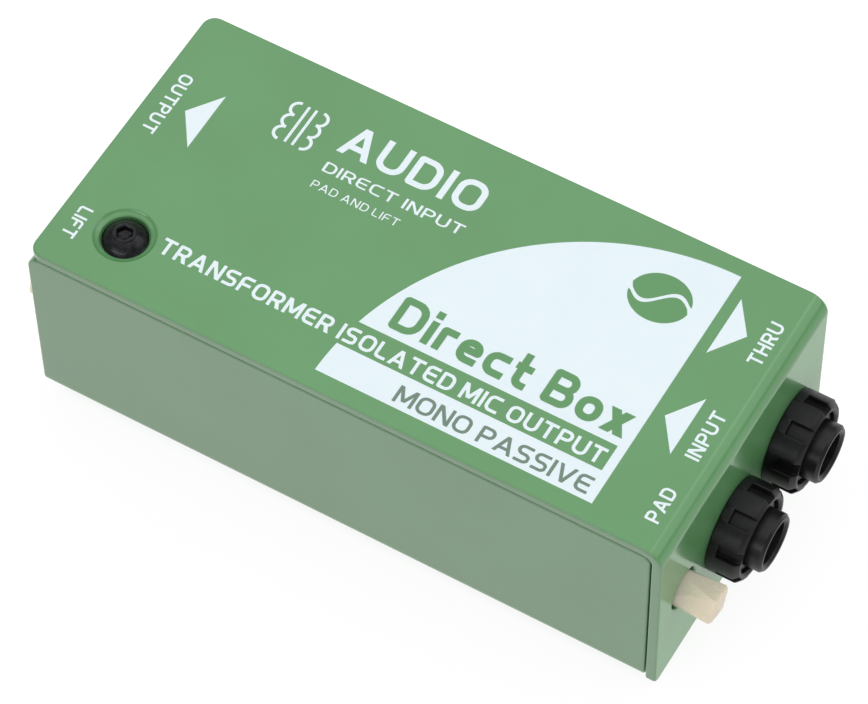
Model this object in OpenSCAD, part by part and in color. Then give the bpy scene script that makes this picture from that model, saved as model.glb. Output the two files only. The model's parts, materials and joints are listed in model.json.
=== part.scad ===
// Passive direct injection box: a folded steel case with a three-pin output at one end and
// two quarter-inch jacks at the other. It stands on its no-slip pad. +X points out of the
// jacks, +Z up, and the origin is the middle of the pad's underside. The cover is the top and
// the jack end; the base shell is the floor, both long sides and the output end.

/* [Case] */
// Length over the two ends
case_l = 100; // [98:1:120]
// Width over the top cover
case_w = 47.6; // [47.2:0.2:60]
// Height of the steel case, without the pad
case_h = 33.5; // [33:0.5:45]
// Thickness of the steel sheet
sheet_t = 1.6; // [1.4:0.1:1.8]
// Outside radius of the cover's bend at the jack end
bend_r = 3; // [2.4:0.1:3.2]
// Outside radius of the base shell's three bends
base_bend_r = 1.9; // [1.9:0.1:2.6]
// Gap between the cover's sheet and the base shell's edges
shell_gap = 0.25; // [0.15:0.05:0.4]
// How far the long sides stand back from the cover's edges
side_inset = 0.2; // [0:0.05:0.5]
// How far the cover's plain edge stands back from the output end
cover_back = 0.55; // [0:0.05:1]
// Corner radius of the cover, seen from above, at the output end
cover_corner_r = 2; // [1:0.1:3]

/* [Pad under the base] */
// Thickness of the no-slip pad
pad_t = 1.5; // [1:0.25:3]
// Margin between the pad's edge and the case
pad_margin = 3; // [2:0.5:8]

/* [Cover screw] */
// Distance of the screw from the output end
screw_from_end = 10.8; // [10.4:0.2:13]
// Distance of the screw from the cover's front edge
screw_from_front = 8.9; // [8.4:0.1:10]
// Diameter of the pressed dimple at the surface
dimple_d = 9; // [8.4:0.2:10]
// Depth of the dimple
dimple_depth = 1.2; // [0.8:0.1:1.4]
// Diameter of the button head
head_d = 6.7; // [6:0.1:7]
// Height of the button head
head_h = 1.75; // [1.4:0.05:2]
// Width across the flats of the head's socket
socket_af = 2.1; // [1.8:0.1:2.5]

/* [Jacks] */
// Height of the jack axes below the top
jack_drop = 19.3; // [18:0.1:20]
// Distance of the input jack's axis from the case's middle, towards the front
input_y = -3.5; // [-4:0.1:-3]
// Distance between the two jack axes
jack_pitch = 16.5; // [16.2:0.1:17]
// Radius of the plug bore
jack_bore_r = 3.25; // [3.2:0.01:3.4]
// Radius of the smooth nose
nose_r = 4.45; // [4.2:0.05:4.8]
// How far the nose stands out of the end flange
nose_out = 7.2; // [6:0.1:9]
// Outside radius of the ring nuts
nut_r = 7.2; // [6.8:0.1:7.6]
// Height of the ring nuts
nut_h = 5; // [3.5:0.1:5.4]
// Notches around each ring nut
nut_notches = 8; // [6:1:12]

/* [Output connector] */
// Distance of the connector's axis from the case's middle, towards the back
xlr_y = 7.3; // [6:0.1:8]
// Height of the connector's axis above the table
xlr_z = 18; // [17.6:0.1:18.4]
// Inside radius of the connector's cup
cup_r = 9.6; // [9.5:0.05:9.7]
// Depth of the cup down to the contact carrier
cup_depth = 14; // [12:0.5:14.5]
// Radius of a contact pin
pin_r = 1.195; // [1.1:0.005:1.25]
// Radius of the circle that the three pins stand on
pin_circle_r = 3.81; // [3.6:0.01:4]

/* [Push buttons] */
// Distance of both buttons from the case's middle, towards the front
button_y = -16.6; // [-16.8:0.1:-16.4]
// Depth of the button axes below the top
button_drop = 18; // [17:0.1:19]
// Radius of a button cap
button_r = 2.9; // [2.5:0.05:3.1]
// How far the PAD button stands out at rest
pad_button_out = 5.8; // [4:0.1:6.5]
// How far the LIFT button stands out at rest
lift_button_out = 4.5; // [4:0.1:6.5]
// Travel of both buttons
button_travel = 2.5; // [1:0.1:3]

/* [Hidden] */
$fn = 48;

// Levels and faces of the case
case_bottom = pad_t;
case_top = pad_t + case_h;
inner_top = case_top - sheet_t;
end_x = case_l / 2;
end_in = end_x - sheet_t;
side_y = case_w / 2 - side_inset;
side_in = side_y - sheet_t;
floor_z = case_bottom + sheet_t;
cover_left = -end_x + cover_back;
flange_corner_r = 1.2;
base_right = end_in - shell_gap;
side_top = inner_top - shell_gap;
side_corner_r = 1.2;
side_corner_left_r = 2.2;
end_seam = 0.15;

// Screw, dimple and captive nut
screw_x = -end_x + screw_from_end;
screw_y = -case_w / 2 + screw_from_front;
dimple_floor = case_top - dimple_depth;
dimple_floor_d = 7.6;
ear_top = dimple_floor - sheet_t;
ear_l = 11;
shank_r = 1.75;
screw_length = 6.35;
nut_flange_r = 3.1;
nut_shank_r = 2.4;
nut_depth = 2.2;

// Circuit board
board_z = 5.1;
board_t = 1.6;
board_top = board_z + board_t;
board_l = 90;
board_x = 1;
board_w = 41.6;
leg_r = 0.45;
leg_hole_r = 0.7;
leg_under = board_z - 1;

// Jacks
jack_z = case_top - jack_drop;
jack_ys = [input_y, input_y + jack_pitch];
jack_block_w = 15.6;
jack_block_l = 26;
jack_block_top = 24.6;
jack_back = end_in - jack_block_l;
thread_r = 5.5;
thread_clear = 0.05;
thread_out = 4.2;
bore_l = 13.6;
bore_chamfer = 0.4;
chamber_w = 9;
chamber_front = end_x + nose_out - bore_l;
chamber_back = jack_back + 1.6;
contact_t = 0.4;
contact_w = 3;
slot_clear = 0.1;
jack_leg_w = 1;
tip_leg_x = jack_back - 0.9;
sleeve_leg_x = chamber_front - 5;

// Output connector: its local x is the distance in from the output end's outer face
cup_wall = 1.1;
cup_out_r = cup_r + cup_wall;
housing_w = 24;
housing_top = 30.6;
flange_depth = 2.4;
carrier_depth = 5;
housing_depth = cup_depth + carrier_depth + 1;
pin_seat_r = 0.8;
pin_tip = 2.5;
pin_angles = [180, 0, -90];
pin_lead_depth = housing_depth + 1.5;
xlr_screw_y = 9.2;
xlr_screw_z = 10.2;
csk_r = 2.6;
csk_depth = 1.2;
m3_r = 1.5;

// Push switches: local x is the distance in from the tip of the cap
switch_w = 8.4;
switch_h = 14.4;
switch_l = 17;
cap_l = 11.2;
cap_round = 0.7;
cap_gap = button_travel + 0.6;
stem_w = 3.6;
stem_head_w = 5;
stem_head_l = 5;
stem_in_cap = 4;
switch_front = cap_l + cap_gap;
front_wall = 1.5;
cavity_l = 14;
cavity_w = 5.2;
stem_clear = 0.1;
button_z = case_top - button_drop;
button_hole_r = button_r + 0.3;
stem_head_x = switch_front + front_wall + stem_clear;
spring_gap = 0.05;
spring_wire_r = 0.25;
spring_r = 1.9;
spring_turns = 6;
spring_start = stem_head_x + stem_head_l + spring_gap + spring_wire_r;
spring_end = switch_front + front_wall + cavity_l - spring_gap - spring_wire_r;
switch_pin_pitch = 2.5;
switch_pin_row = 5;

// Transformer: the centre leg runs along X
core_x = -3;
core_y = 8;
core_l = 27.4;
core_h = 22;
core_stack = 10;
core_leg = 7;
core_yoke = 3.7;
core_window_h = (core_h - core_leg - 2 * core_yoke) / 2;
core_z = board_top + 0.6 + core_h / 2;
bobbin_wall = 0.8;
bobbin_flange = 1;
bobbin_l = core_l - 2 * core_yoke - 0.2;
bobbin_clear = 0.1;
winding_y = 9;
strap_t = 0.6;
strap_w = 8;
bobbin_pin_x = 9.7;
bobbin_pin_ys = [-8.4, -6.4, 6.4, 8.4];
bobbin_foot_y = 7.4;
bobbin_foot_w = 3.6;
bobbin_foot_l = 1.6;

// Small parts on the board
resistor_xs = [-18, -11, -4, 3, 10];
resistor_y = -11;
resistor_r = 1.15;
resistor_l = 6.5;
resistor_span = 10.16;
wire_r = 0.3;
cap_size = [6, 13, 11];
cap_pos = [17.5, -9.5];
cap_lead_span = 10;

// Flat outline from (x0, y0) to (x1, y1), with a radius for each corner in turn:
// (x0, y0), (x1, y0), (x1, y1), (x0, y1)
module rounded(x0, x1, y0, y1, radii) {
    difference() {
        translate([x0, y0]) square([x1 - x0, y1 - y0]);
        for (i = [0 : 3]) {
            r = radii[i];
            right = i == 1 || i == 2;
            top = i > 1;
            if (r > 0)
                translate([right ? x1 - r : x0 + r, top ? y1 - r : y0 + r]) difference() {
                    translate([right ? 0 : -r - 1, top ? 0 : -r - 1]) square(r + 1);
                    circle(r);
                }
        }
    }
}

// Outline drawn in X and Z, given a thickness along Y about the middle
module along_y(w) {
    rotate([90, 0, 0]) linear_extrude(w, center = true) children();
}

// Outline drawn in Y and Z, given a thickness along X from x = 0
module along_x(l) {
    rotate([90, 0, 90]) linear_extrude(l) children();
}

// Cylinder along +X
module rod_x(r, l) {
    rotate([0, 90, 0]) cylinder(r = r, h = l);
}

// Cone along +X
module cone_x(r_start, r_end, l) {
    rotate([0, 90, 0]) cylinder(r1 = r_start, r2 = r_end, h = l);
}

// Centred block, given its size along each axis
module block(size) {
    cube(size, center = true);
}

// Case ------------------------------------------------------------------------------

// Top and one end flange, folded from a single sheet
module cover_sheet() {
    half_w = case_w / 2;
    intersection() {
        along_y(case_w) difference() {
            rounded(cover_left, end_x, case_bottom, case_top, [0, 0, bend_r, 0]);
            rounded(cover_left - 1, end_in, case_bottom - 1, inner_top, [0, 0, bend_r - sheet_t, 0]);
        }
        linear_extrude(case_top + 1)
            rounded(cover_left, end_x, -half_w, half_w, [cover_corner_r, 0, 0, cover_corner_r]);
        translate([cover_left, 0, 0]) along_x(end_x - cover_left)
            rounded(-half_w, half_w, case_bottom, case_top, [flange_corner_r, flange_corner_r, 0, 0]);
    }
}

module top_cover() {
    color([0.46, 0.66, 0.48]) difference() {
        union() {
            cover_sheet();
            // underside of the pressed dimple
            translate([screw_x, screw_y, ear_top])
                cylinder(d1 = dimple_floor_d + 1.4, d2 = dimple_d + 1.4, h = dimple_depth);
        }
        translate([screw_x, screw_y, dimple_floor])
            cylinder(d1 = dimple_floor_d, d2 = dimple_d, h = dimple_depth);
        translate([screw_x, screw_y, dimple_floor])
            cylinder(d = dimple_d, h = 2 * dimple_depth);
        translate([screw_x, screw_y, ear_top - 1]) cylinder(r = shank_r + 0.2, h = 4);
        for (y = jack_ys)
            translate([end_in - 1, y, jack_z]) rod_x(thread_r + 0.2, sheet_t + 2);
        translate([end_in - 1, button_y, button_z]) rod_x(button_hole_r, sheet_t + 2);
    }
}

// Floor, both long sides and the output end, folded from a single sheet
module base_sheet() {
    fold_r = base_bend_r;
    inner_r = base_bend_r - sheet_t;
    intersection() {
        translate([-end_x, 0, 0]) along_x(end_x + base_right) difference() {
            rounded(-side_y, side_y, case_bottom, side_top, [fold_r, fold_r, 0, 0]);
            rounded(-side_in, side_in, floor_z, side_top + 1, [inner_r, inner_r, 0, 0]);
        }
        along_y(case_w) rounded(-end_x, base_right, case_bottom, side_top,
            [fold_r, 0, side_corner_r, side_corner_left_r]);
    }
    along_y(2 * (side_in - end_seam)) difference() {
        rounded(-end_x, -end_in + 1, case_bottom, side_top, [fold_r, 0, 0, 0]);
        rounded(-end_in, -end_in + 2, floor_z, side_top + 1, [inner_r, 0, 0, 0]);
    }
}

module base_shell() {
    color([0.44, 0.62, 0.46]) difference() {
        union() {
            base_sheet();
            // ear folded in from the front side to take the cover screw
            translate([screw_x - ear_l / 2, -side_in - 0.5, ear_top - sheet_t])
                cube([ear_l, screw_y + side_in + 5.5, sheet_t]);
        }
        translate([screw_x, screw_y, ear_top - 3]) cylinder(r = nut_shank_r, h = 4);
        translate([-end_x - 1, button_y, button_z]) rod_x(button_hole_r, sheet_t + 2);
        translate([-end_x - 1, xlr_y, xlr_z]) rod_x(cup_out_r + 0.2, sheet_t + 2);
        for (s = [-1, 1])
            translate([-end_x, xlr_y + s * xlr_screw_y, xlr_z + s * xlr_screw_z]) {
                translate([-1, 0, 0]) rod_x(m3_r + 0.1, sheet_t + 2);
                cone_x(csk_r + 0.1, m3_r + 0.1, csk_depth);
            }
    }
}

module captive_nut() {
    color([0.75, 0.76, 0.78]) translate([screw_x, screw_y, ear_top - sheet_t]) difference() {
        union() {
            cylinder(r = nut_shank_r, h = sheet_t);
            translate([0, 0, -nut_depth]) cylinder(r = nut_flange_r, h = nut_depth);
        }
        translate([0, 0, -nut_depth - 1]) cylinder(r = shank_r + 0.05, h = nut_depth + sheet_t + 2);
    }
}

module cover_screw() {
    dome_r = (pow(head_d / 2, 2) + pow(head_h, 2)) / (2 * head_h);
    color([0.1, 0.1, 0.1]) translate([screw_x, screw_y, dimple_floor]) difference() {
        union() {
            intersection() {
                cylinder(d = head_d, h = head_h);
                translate([0, 0, head_h + 0.35 - dome_r]) sphere(dome_r);
            }
            translate([0, 0, -screw_length]) cylinder(r = shank_r, h = screw_length);
        }
        translate([0, 0, head_h - 1.1])
            cylinder(d = socket_af / cos(30), h = 2, $fn = 6);
    }
}

module no_slip_pad() {
    pad_l = case_l - 2 * pad_margin;
    pad_w = case_w - 2 * pad_margin;
    pad_r = 2;
    color([0.12, 0.12, 0.12]) linear_extrude(pad_t) {
        square([pad_l, pad_w - 2 * pad_r], center = true);
        square([pad_l - 2 * pad_r, pad_w], center = true);
        for (sx = [-1, 1], sy = [-1, 1])
            translate([sx * (pad_l / 2 - pad_r), sy * (pad_w / 2 - pad_r)]) circle(pad_r);
    }
}

// Output connector --------------------------------------------------------------------

// Places what is drawn along +X from the output end's outer face inwards
module at_output() {
    translate([-end_x, xlr_y, xlr_z]) children();
}

module pin_places() {
    for (a = pin_angles)
        translate([0, pin_circle_r * cos(a), pin_circle_r * sin(a)]) children();
}

module output_housing() {
    rear = housing_depth;
    color([0.1, 0.1, 0.11]) at_output() difference() {
        union() {
            rod_x(cup_out_r, rear);
            translate([sheet_t, -housing_w / 2, board_top - xlr_z])
                cube([flange_depth, housing_w, housing_top - board_top]);
            translate([sheet_t, -cup_out_r - 0.4, board_top - xlr_z])
                cube([rear - sheet_t, 2 * cup_out_r + 0.8, 23]);
        }
        translate([-1, 0, 0]) rod_x(cup_r, cup_depth + 1);
        translate([cup_depth - 0.01, 0, 0]) rod_x(cup_r - 0.6, carrier_depth + 0.01);
        pin_places() rod_x(leg_r + 0.1, rear + 1);
        for (s = [-1, 1])
            translate([0, s * xlr_screw_y, s * xlr_screw_z]) rod_x(m3_r - 0.1, 6);
    }
}

module output_carrier() {
    color([0.16, 0.16, 0.17]) at_output() difference() {
        translate([cup_depth, 0, 0]) rod_x(cup_r - 0.65, carrier_depth);
        pin_places() rod_x(pin_seat_r + 0.02, housing_depth);
    }
}

module output_pins() {
    color([0.86, 0.84, 0.78]) at_output() pin_places() {
        tip_round = 0.7;
        translate([pin_tip + tip_round, 0, 0]) rod_x(pin_r, cup_depth - pin_tip - tip_round);
        translate([pin_tip, 0, 0]) cone_x(pin_r - tip_round, pin_r, tip_round);
        translate([cup_depth, 0, 0]) rod_x(pin_seat_r, carrier_depth);
    }
}

// Bent leads from the pins' back ends down through the board
module output_leads() {
    elbow = pin_lead_depth - cup_depth - carrier_depth + leg_r;
    color([0.8, 0.8, 0.78]) {
        at_output() pin_places()
            translate([cup_depth + carrier_depth, 0, 0]) rod_x(leg_r, elbow);
        for (a = pin_angles)
            translate([-end_x + pin_lead_depth, xlr_y + pin_circle_r * cos(a), leg_under])
                cylinder(r = leg_r, h = xlr_z + pin_circle_r * sin(a) - leg_under);
    }
}

module output_screws() {
    color([0.1, 0.1, 0.1]) at_output() for (s = [-1, 1])
        translate([0, s * xlr_screw_y, s * xlr_screw_z]) difference() {
            union() {
                cone_x(csk_r, m3_r - 0.1, csk_depth);
                translate([csk_depth, 0, 0]) rod_x(m3_r - 0.1, 4);
            }
            for (a = [0, 90])
                rotate([a, 0, 0]) block([1.2, 0.5, 2.4]);
        }
}

// Jacks ---------------------------------------------------------------------------------

// Places what is drawn along +X from the end flange's outer face outwards
module at_jack(i) {
    translate([end_x, jack_ys[i], jack_z]) children();
}

module jack_body(i) {
    block_x = jack_back - end_x;
    color([0.1, 0.1, 0.11]) at_jack(i) difference() {
        union() {
            translate([block_x, -jack_block_w / 2, board_top - jack_z])
                cube([jack_block_l, jack_block_w, jack_block_top - board_top]);
            translate([-sheet_t - 1, 0, 0]) rod_x(thread_r, thread_out + sheet_t + 1);
            rod_x(nose_r, nose_out);
        }
        translate([nose_out - bore_l - 1, 0, 0]) rod_x(jack_bore_r, bore_l + 2);
        translate([nose_out - bore_chamfer, 0, 0])
            cone_x(jack_bore_r, jack_bore_r + 2 * bore_chamfer, 2 * bore_chamfer);
        translate([chamber_back - end_x, -chamber_w / 2, -chamber_w / 2])
            cube([chamber_front - chamber_back, chamber_w, chamber_w]);
        // slot that the tip contact leaves by
        translate([block_x - 1, -contact_w / 2 - slot_clear, 3.6 - slot_clear])
            cube([3, contact_w + 2 * slot_clear, contact_t + 2 * slot_clear]);
        // slot that the sleeve contact leaves by
        translate([sleeve_leg_x - end_x - slot_clear, -contact_w / 2 - slot_clear, -chamber_w])
            cube([contact_t + 2 * slot_clear, contact_w + 2 * slot_clear, chamber_w]);
    }
}

module jack_nut(i) {
    chamfer = 0.7;
    band = 1.5;
    notch_w = 2.2;
    notch_depth = 0.9;
    color([0.12, 0.12, 0.13]) at_jack(i) difference() {
        union() {
            rod_x(nut_r, nut_h - chamfer);
            translate([nut_h - chamfer, 0, 0]) cone_x(nut_r, nut_r - chamfer, chamfer);
        }
        translate([-1, 0, 0]) rod_x(thread_r + thread_clear, nut_h + 2);
        for (n = [0 : nut_notches - 1])
            rotate([(n + 0.5) * 360 / nut_notches, 0, 0])
                translate([band, -notch_w / 2, nut_r - notch_depth])
                    cube([nut_h, notch_w, 2]);
    }
}

// Spring strip that presses on the plug's tip, with its leg behind the block
module tip_contact(i) {
    top = 3.6;
    dip = 2.4;
    bend = chamber_back - end_x + 1.5;
    bump = bend + 4.5;
    rise = bump + 3;
    leg = tip_leg_x - end_x;
    color([0.78, 0.66, 0.36]) at_jack(i) {
        along_y(contact_w) polygon([[leg, top + contact_t], [leg, top], [bend, top], [bump, dip],
            [rise, top], [rise, top + contact_t], [bump, dip + contact_t], [bend, top + contact_t]]);
        translate([leg - contact_t, -contact_w / 2, board_top - jack_z])
            cube([contact_t, contact_w, top + contact_t + jack_z - board_top]);
        translate([leg - contact_t / 2, 0, (leg_under + board_top) / 2 - jack_z])
            block([contact_t, jack_leg_w, board_top - leg_under]);
    }
}

// Spring strip that presses on the plug's sleeve, with its leg through the block's floor
module sleeve_contact(i) {
    low = -4.1;
    bump_z = -3.0;
    front = chamber_front - end_x - 0.4;
    bump = front - 1.8;
    leg = sleeve_leg_x - end_x;
    color([0.78, 0.66, 0.36]) at_jack(i) {
        along_y(contact_w) polygon([[leg, low], [leg, low - contact_t + 0.2], [front, low],
            [front, low + 0.2], [bump, bump_z], [leg, low + contact_t]]);
        translate([leg, -contact_w / 2, board_top - jack_z])
            cube([contact_t, contact_w, low + contact_t + jack_z - board_top]);
        translate([leg + contact_t / 2, 0, (leg_under + board_top) / 2 - jack_z])
            block([contact_t, jack_leg_w, board_top - leg_under]);
    }
}

module input_jack_body() { jack_body(0); }
module input_jack_nut() { jack_nut(0); }
module input_tip_contact() { tip_contact(0); }
module input_sleeve_contact() { sleeve_contact(0); }
module thru_jack_body() { jack_body(1); }
module thru_jack_nut() { jack_nut(1); }
module thru_tip_contact() { tip_contact(1); }
module thru_sleeve_contact() { sleeve_contact(1); }

// Push switches ----------------------------------------------------------------------------

// Places what is drawn from the cap's tip (x = 0) towards the middle of the case (+x)
module at_switch(side, out) {
    translate([side * (end_x + out), button_y, button_z]) {
        if (side > 0)
            mirror([1, 0, 0]) children();
        else
            children();
    }
}

module switch_body(side, out) {
    drop = button_z - board_top;
    color([0.15, 0.15, 0.16]) at_switch(side, out) difference() {
        translate([switch_front, -switch_w / 2, -drop]) cube([switch_l, switch_w, switch_h]);
        translate([switch_front - 1, -stem_w / 2 - stem_clear, -stem_w / 2 - stem_clear])
            cube([front_wall + 2, stem_w + 2 * stem_clear, stem_w + 2 * stem_clear]);
        translate([switch_front + front_wall, -cavity_w / 2, -cavity_w / 2])
            cube([cavity_l, cavity_w, cavity_w]);
    }
}

module switch_plunger(side, out) {
    start = cap_l - stem_in_cap;
    color([0.9, 0.9, 0.88]) at_switch(side, out) {
        translate([start, -stem_w / 2, -stem_w / 2])
            cube([stem_head_x + 0.5 - start, stem_w, stem_w]);
        translate([stem_head_x, -stem_head_w / 2, -stem_head_w / 2])
            cube([stem_head_l, stem_head_w, stem_head_w]);
    }
}

module button_cap(side, out) {
    crown = 0.45;
    crown_r = (pow(button_r - cap_round, 2) + pow(crown, 2)) / (2 * crown);
    color([0.79, 0.72, 0.63]) at_switch(side, out) difference() {
        rotate([0, 90, 0]) rotate_extrude() difference() {
            intersection() {
                union() {
                    translate([0, crown + cap_round]) square([button_r, cap_l - crown - cap_round]);
                    translate([0, crown]) square([button_r - cap_round, cap_round + 1]);
                    translate([button_r - cap_round, crown + cap_round]) circle(cap_round);
                    intersection() {
                        square([button_r - cap_round, crown + 0.1]);
                        translate([0, crown_r]) circle(crown_r, $fn = 96);
                    }
                }
                square([button_r, cap_l]);
            }
        }
        translate([cap_l - stem_in_cap, -stem_w / 2, -stem_w / 2])
            cube([stem_in_cap + 1, stem_w, stem_w]);
    }
}

// Coil spring along +X between two x positions, swept as a six-sided wire
module coil_spring(x0, x1, r, wire_r, turns) {
    steps = turns * 12;
    sides = 6;
    function centre(i) = [x0 + (x1 - x0) * i / steps, r * cos(30 * i), r * sin(30 * i)];
    function radial(i) = [0, cos(30 * i), sin(30 * i)];
    points = [for (i = [0 : steps], k = [0 : sides - 1])
        centre(i) + wire_r * (cos(60 * k) * radial(i) + [sin(60 * k), 0, 0])];
    walls = [for (i = [0 : steps - 1], k = [0 : sides - 1])
        let (a = i * sides + k, b = i * sides + (k + 1) % sides)
        [a, b, b + sides, a + sides]];
    first = [for (k = [sides - 1 : -1 : 0]) k];
    last = [for (k = [0 : sides - 1]) steps * sides + k];
    polyhedron(points, concat([first], walls, [last]), convexity = 10);
}

module switch_spring(side, out) {
    color([0.7, 0.72, 0.74]) at_switch(side, out)
        coil_spring(spring_start, spring_end, spring_r, spring_wire_r, spring_turns);
}

module pad_switch_body() { switch_body(1, pad_button_out); }
module pad_plunger() { switch_plunger(1, pad_button_out); }
module pad_button() { button_cap(1, pad_button_out); }
module pad_spring() { switch_spring(1, pad_button_out); }
module lift_switch_body() { switch_body(-1, lift_button_out); }
module lift_plunger() { switch_plunger(-1, lift_button_out); }
module lift_button() { button_cap(-1, lift_button_out); }
module lift_spring() { switch_spring(-1, lift_button_out); }

// Centres of one switch's six pins, as distances from the cap's tip and the axis
function switch_pin_points(side, out) = [for (i = [-1 : 1], s = [-1, 1])
    [side * (end_x + out - switch_front - switch_l / 2 - i * switch_pin_pitch),
        button_y + s * switch_pin_row / 2]];

module switch_pins() {
    places = concat(switch_pin_points(1, pad_button_out), switch_pin_points(-1, lift_button_out));
    color([0.8, 0.8, 0.78]) for (p = places)
        translate([p[0], p[1], leg_under]) cylinder(r = leg_r, h = board_top - leg_under);
}

// Board and what stands on it -----------------------------------------------------------------

function resistor_leads() = [for (x = resistor_xs, s = [-1, 1])
    [x, resistor_y + s * resistor_span / 2]];
function capacitor_leads() = [for (s = [-1, 1]) [cap_pos[0], cap_pos[1] + s * cap_lead_span / 2]];
function transformer_leads() = [for (s = [-1, 1], y = bobbin_pin_ys)
    [core_x + s * bobbin_pin_x, core_y + y]];
function output_lead_points() = [for (a = pin_angles)
    [-end_x + pin_lead_depth, xlr_y + pin_circle_r * cos(a)]];
function jack_leads() = [for (y = jack_ys, x = [tip_leg_x - contact_t / 2, sleeve_leg_x + contact_t / 2])
    [x, y]];

module circuit_board() {
    legs = concat(resistor_leads(), capacitor_leads(), transformer_leads(), output_lead_points(),
        jack_leads(), switch_pin_points(1, pad_button_out), switch_pin_points(-1, lift_button_out));
    color([0.1, 0.35, 0.2]) difference() {
        translate([board_x, 0, board_z + board_t / 2]) block([board_l, board_w, board_t]);
        for (p = legs)
            translate([p[0], p[1], board_z - 1]) cylinder(r = leg_hole_r, h = board_t + 2, $fn = 8);
    }
}

module at_transformer() {
    translate([core_x, core_y, core_z]) children();
}

module transformer_core() {
    window_l = core_l - 2 * core_yoke;
    window_z = (core_leg + core_window_h) / 2;
    color([0.45, 0.45, 0.47]) at_transformer() difference() {
        block([core_l, core_stack, core_h]);
        for (s = [-1, 1])
            translate([0, 0, s * window_z]) block([window_l, core_stack + 2, core_window_h]);
    }
}

module transformer_bobbin() {
    tube_y = core_stack + 2 * bobbin_clear;
    tube_z = core_leg + 2 * bobbin_clear;
    flange_z = core_leg + 2 * core_window_h - 0.2;
    foot_h = core_z - board_top;
    color([0.2, 0.2, 0.22]) at_transformer() difference() {
        union() {
            block([bobbin_l, tube_y + 2 * bobbin_wall, tube_z + 2 * bobbin_wall]);
            for (s = [-1, 1]) {
                translate([s * (bobbin_l - bobbin_flange) / 2, 0, 0])
                    block([bobbin_flange, 2 * winding_y + 1, flange_z]);
                for (t = [-1, 1])
                    translate([s * bobbin_pin_x, t * bobbin_foot_y, -foot_h / 2])
                        block([bobbin_foot_l, bobbin_foot_w, foot_h]);
            }
        }
        block([bobbin_l + 2, tube_y, tube_z]);
    }
}

module transformer_winding() {
    inner_y = core_stack + 2 * bobbin_clear + 2 * bobbin_wall;
    inner_z = core_leg + 2 * bobbin_clear + 2 * bobbin_wall;
    winding_l = bobbin_l - 2 * bobbin_flange;
    color([0.72, 0.4, 0.15]) at_transformer() difference() {
        block([winding_l, 2 * winding_y - 0.6, core_leg + 2 * core_window_h - 0.8]);
        block([winding_l + 2, inner_y, inner_z]);
    }
}

module transformer_strap() {
    foot = core_z - board_top;
    color([0.7, 0.71, 0.73]) at_transformer() difference() {
        translate([0, 0, (core_h / 2 + strap_t - foot) / 2])
            block([core_l + 2 * strap_t, strap_w, core_h / 2 + strap_t + foot]);
        translate([0, 0, (core_h / 2 - foot - 1) / 2])
            block([core_l, strap_w + 2, core_h / 2 + foot + 1]);
    }
}

module transformer_pins() {
    color([0.8, 0.8, 0.78]) for (p = transformer_leads())
        translate([p[0], p[1], leg_under]) cylinder(r = leg_r, h = board_top - leg_under);
}

module resistors() {
    axis_z = board_top + resistor_r + 0.15;
    color([0.35, 0.55, 0.7]) for (x = resistor_xs) translate([x, resistor_y, 0]) {
        translate([0, 0, axis_z]) rotate([90, 0, 0])
            cylinder(r = resistor_r, h = resistor_l, center = true);
        translate([0, 0, axis_z]) rotate([90, 0, 0])
            cylinder(r = wire_r, h = resistor_span, center = true);
        for (s = [-1, 1])
            translate([0, s * resistor_span / 2, leg_under])
                cylinder(r = wire_r, h = axis_z + wire_r - leg_under);
    }
}

module film_capacitor() {
    color([0.65, 0.2, 0.15]) {
        translate([cap_pos[0], cap_pos[1], board_top + cap_size[2] / 2]) block(cap_size);
        for (p = capacitor_leads())
            translate([p[0], p[1], leg_under]) cylinder(r = wire_r, h = board_top + 0.5 - leg_under);
    }
}

top_cover();
base_shell();
captive_nut();
cover_screw();
no_slip_pad();
output_housing();
output_carrier();
output_pins();
output_leads();
output_screws();
input_jack_body();
input_jack_nut();
input_tip_contact();
input_sleeve_contact();
thru_jack_body();
thru_jack_nut();
thru_tip_contact();
thru_sleeve_contact();
pad_switch_body();
pad_plunger();
pad_button();
pad_spring();
lift_switch_body();
lift_plunger();
lift_button();
lift_spring();
switch_pins();
circuit_board();
transformer_core();
transformer_bobbin();
transformer_winding();
transformer_strap();
transformer_pins();
resistors();
film_capacitor();
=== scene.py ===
"""Looks of a passive direct injection box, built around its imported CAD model.

Shapes are worked out in millimetres, in the frame of the CAD model, and written in metres.
The cover and the base shell are drawn as flat sheets with holes and then folded.
"""

import json
from math import asin, atan2, copysign, cos, hypot, pi, radians, sin, sqrt, tan

import bmesh
import bpy
from mathutils import Matrix, Vector, geometry


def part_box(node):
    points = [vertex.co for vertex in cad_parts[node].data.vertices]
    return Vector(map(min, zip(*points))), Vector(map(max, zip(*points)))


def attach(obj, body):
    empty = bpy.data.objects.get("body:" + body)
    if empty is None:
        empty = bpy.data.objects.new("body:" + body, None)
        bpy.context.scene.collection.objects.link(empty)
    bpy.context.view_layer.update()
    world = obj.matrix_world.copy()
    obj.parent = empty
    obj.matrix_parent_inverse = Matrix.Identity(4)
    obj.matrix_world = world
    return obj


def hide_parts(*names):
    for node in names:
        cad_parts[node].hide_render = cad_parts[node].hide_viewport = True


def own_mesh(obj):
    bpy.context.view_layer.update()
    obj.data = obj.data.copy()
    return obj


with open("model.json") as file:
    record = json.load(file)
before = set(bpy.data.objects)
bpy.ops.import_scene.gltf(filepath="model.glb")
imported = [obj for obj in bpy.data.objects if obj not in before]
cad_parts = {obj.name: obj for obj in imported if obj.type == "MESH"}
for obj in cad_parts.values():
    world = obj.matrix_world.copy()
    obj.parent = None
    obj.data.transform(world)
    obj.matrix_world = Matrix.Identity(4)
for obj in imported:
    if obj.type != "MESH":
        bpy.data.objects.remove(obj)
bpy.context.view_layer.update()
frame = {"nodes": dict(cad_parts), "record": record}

MM = 0.001
RECORD = frame["record"]
MOUNTS = {mount["name"]: mount for mount in RECORD["mounts"]}


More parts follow.
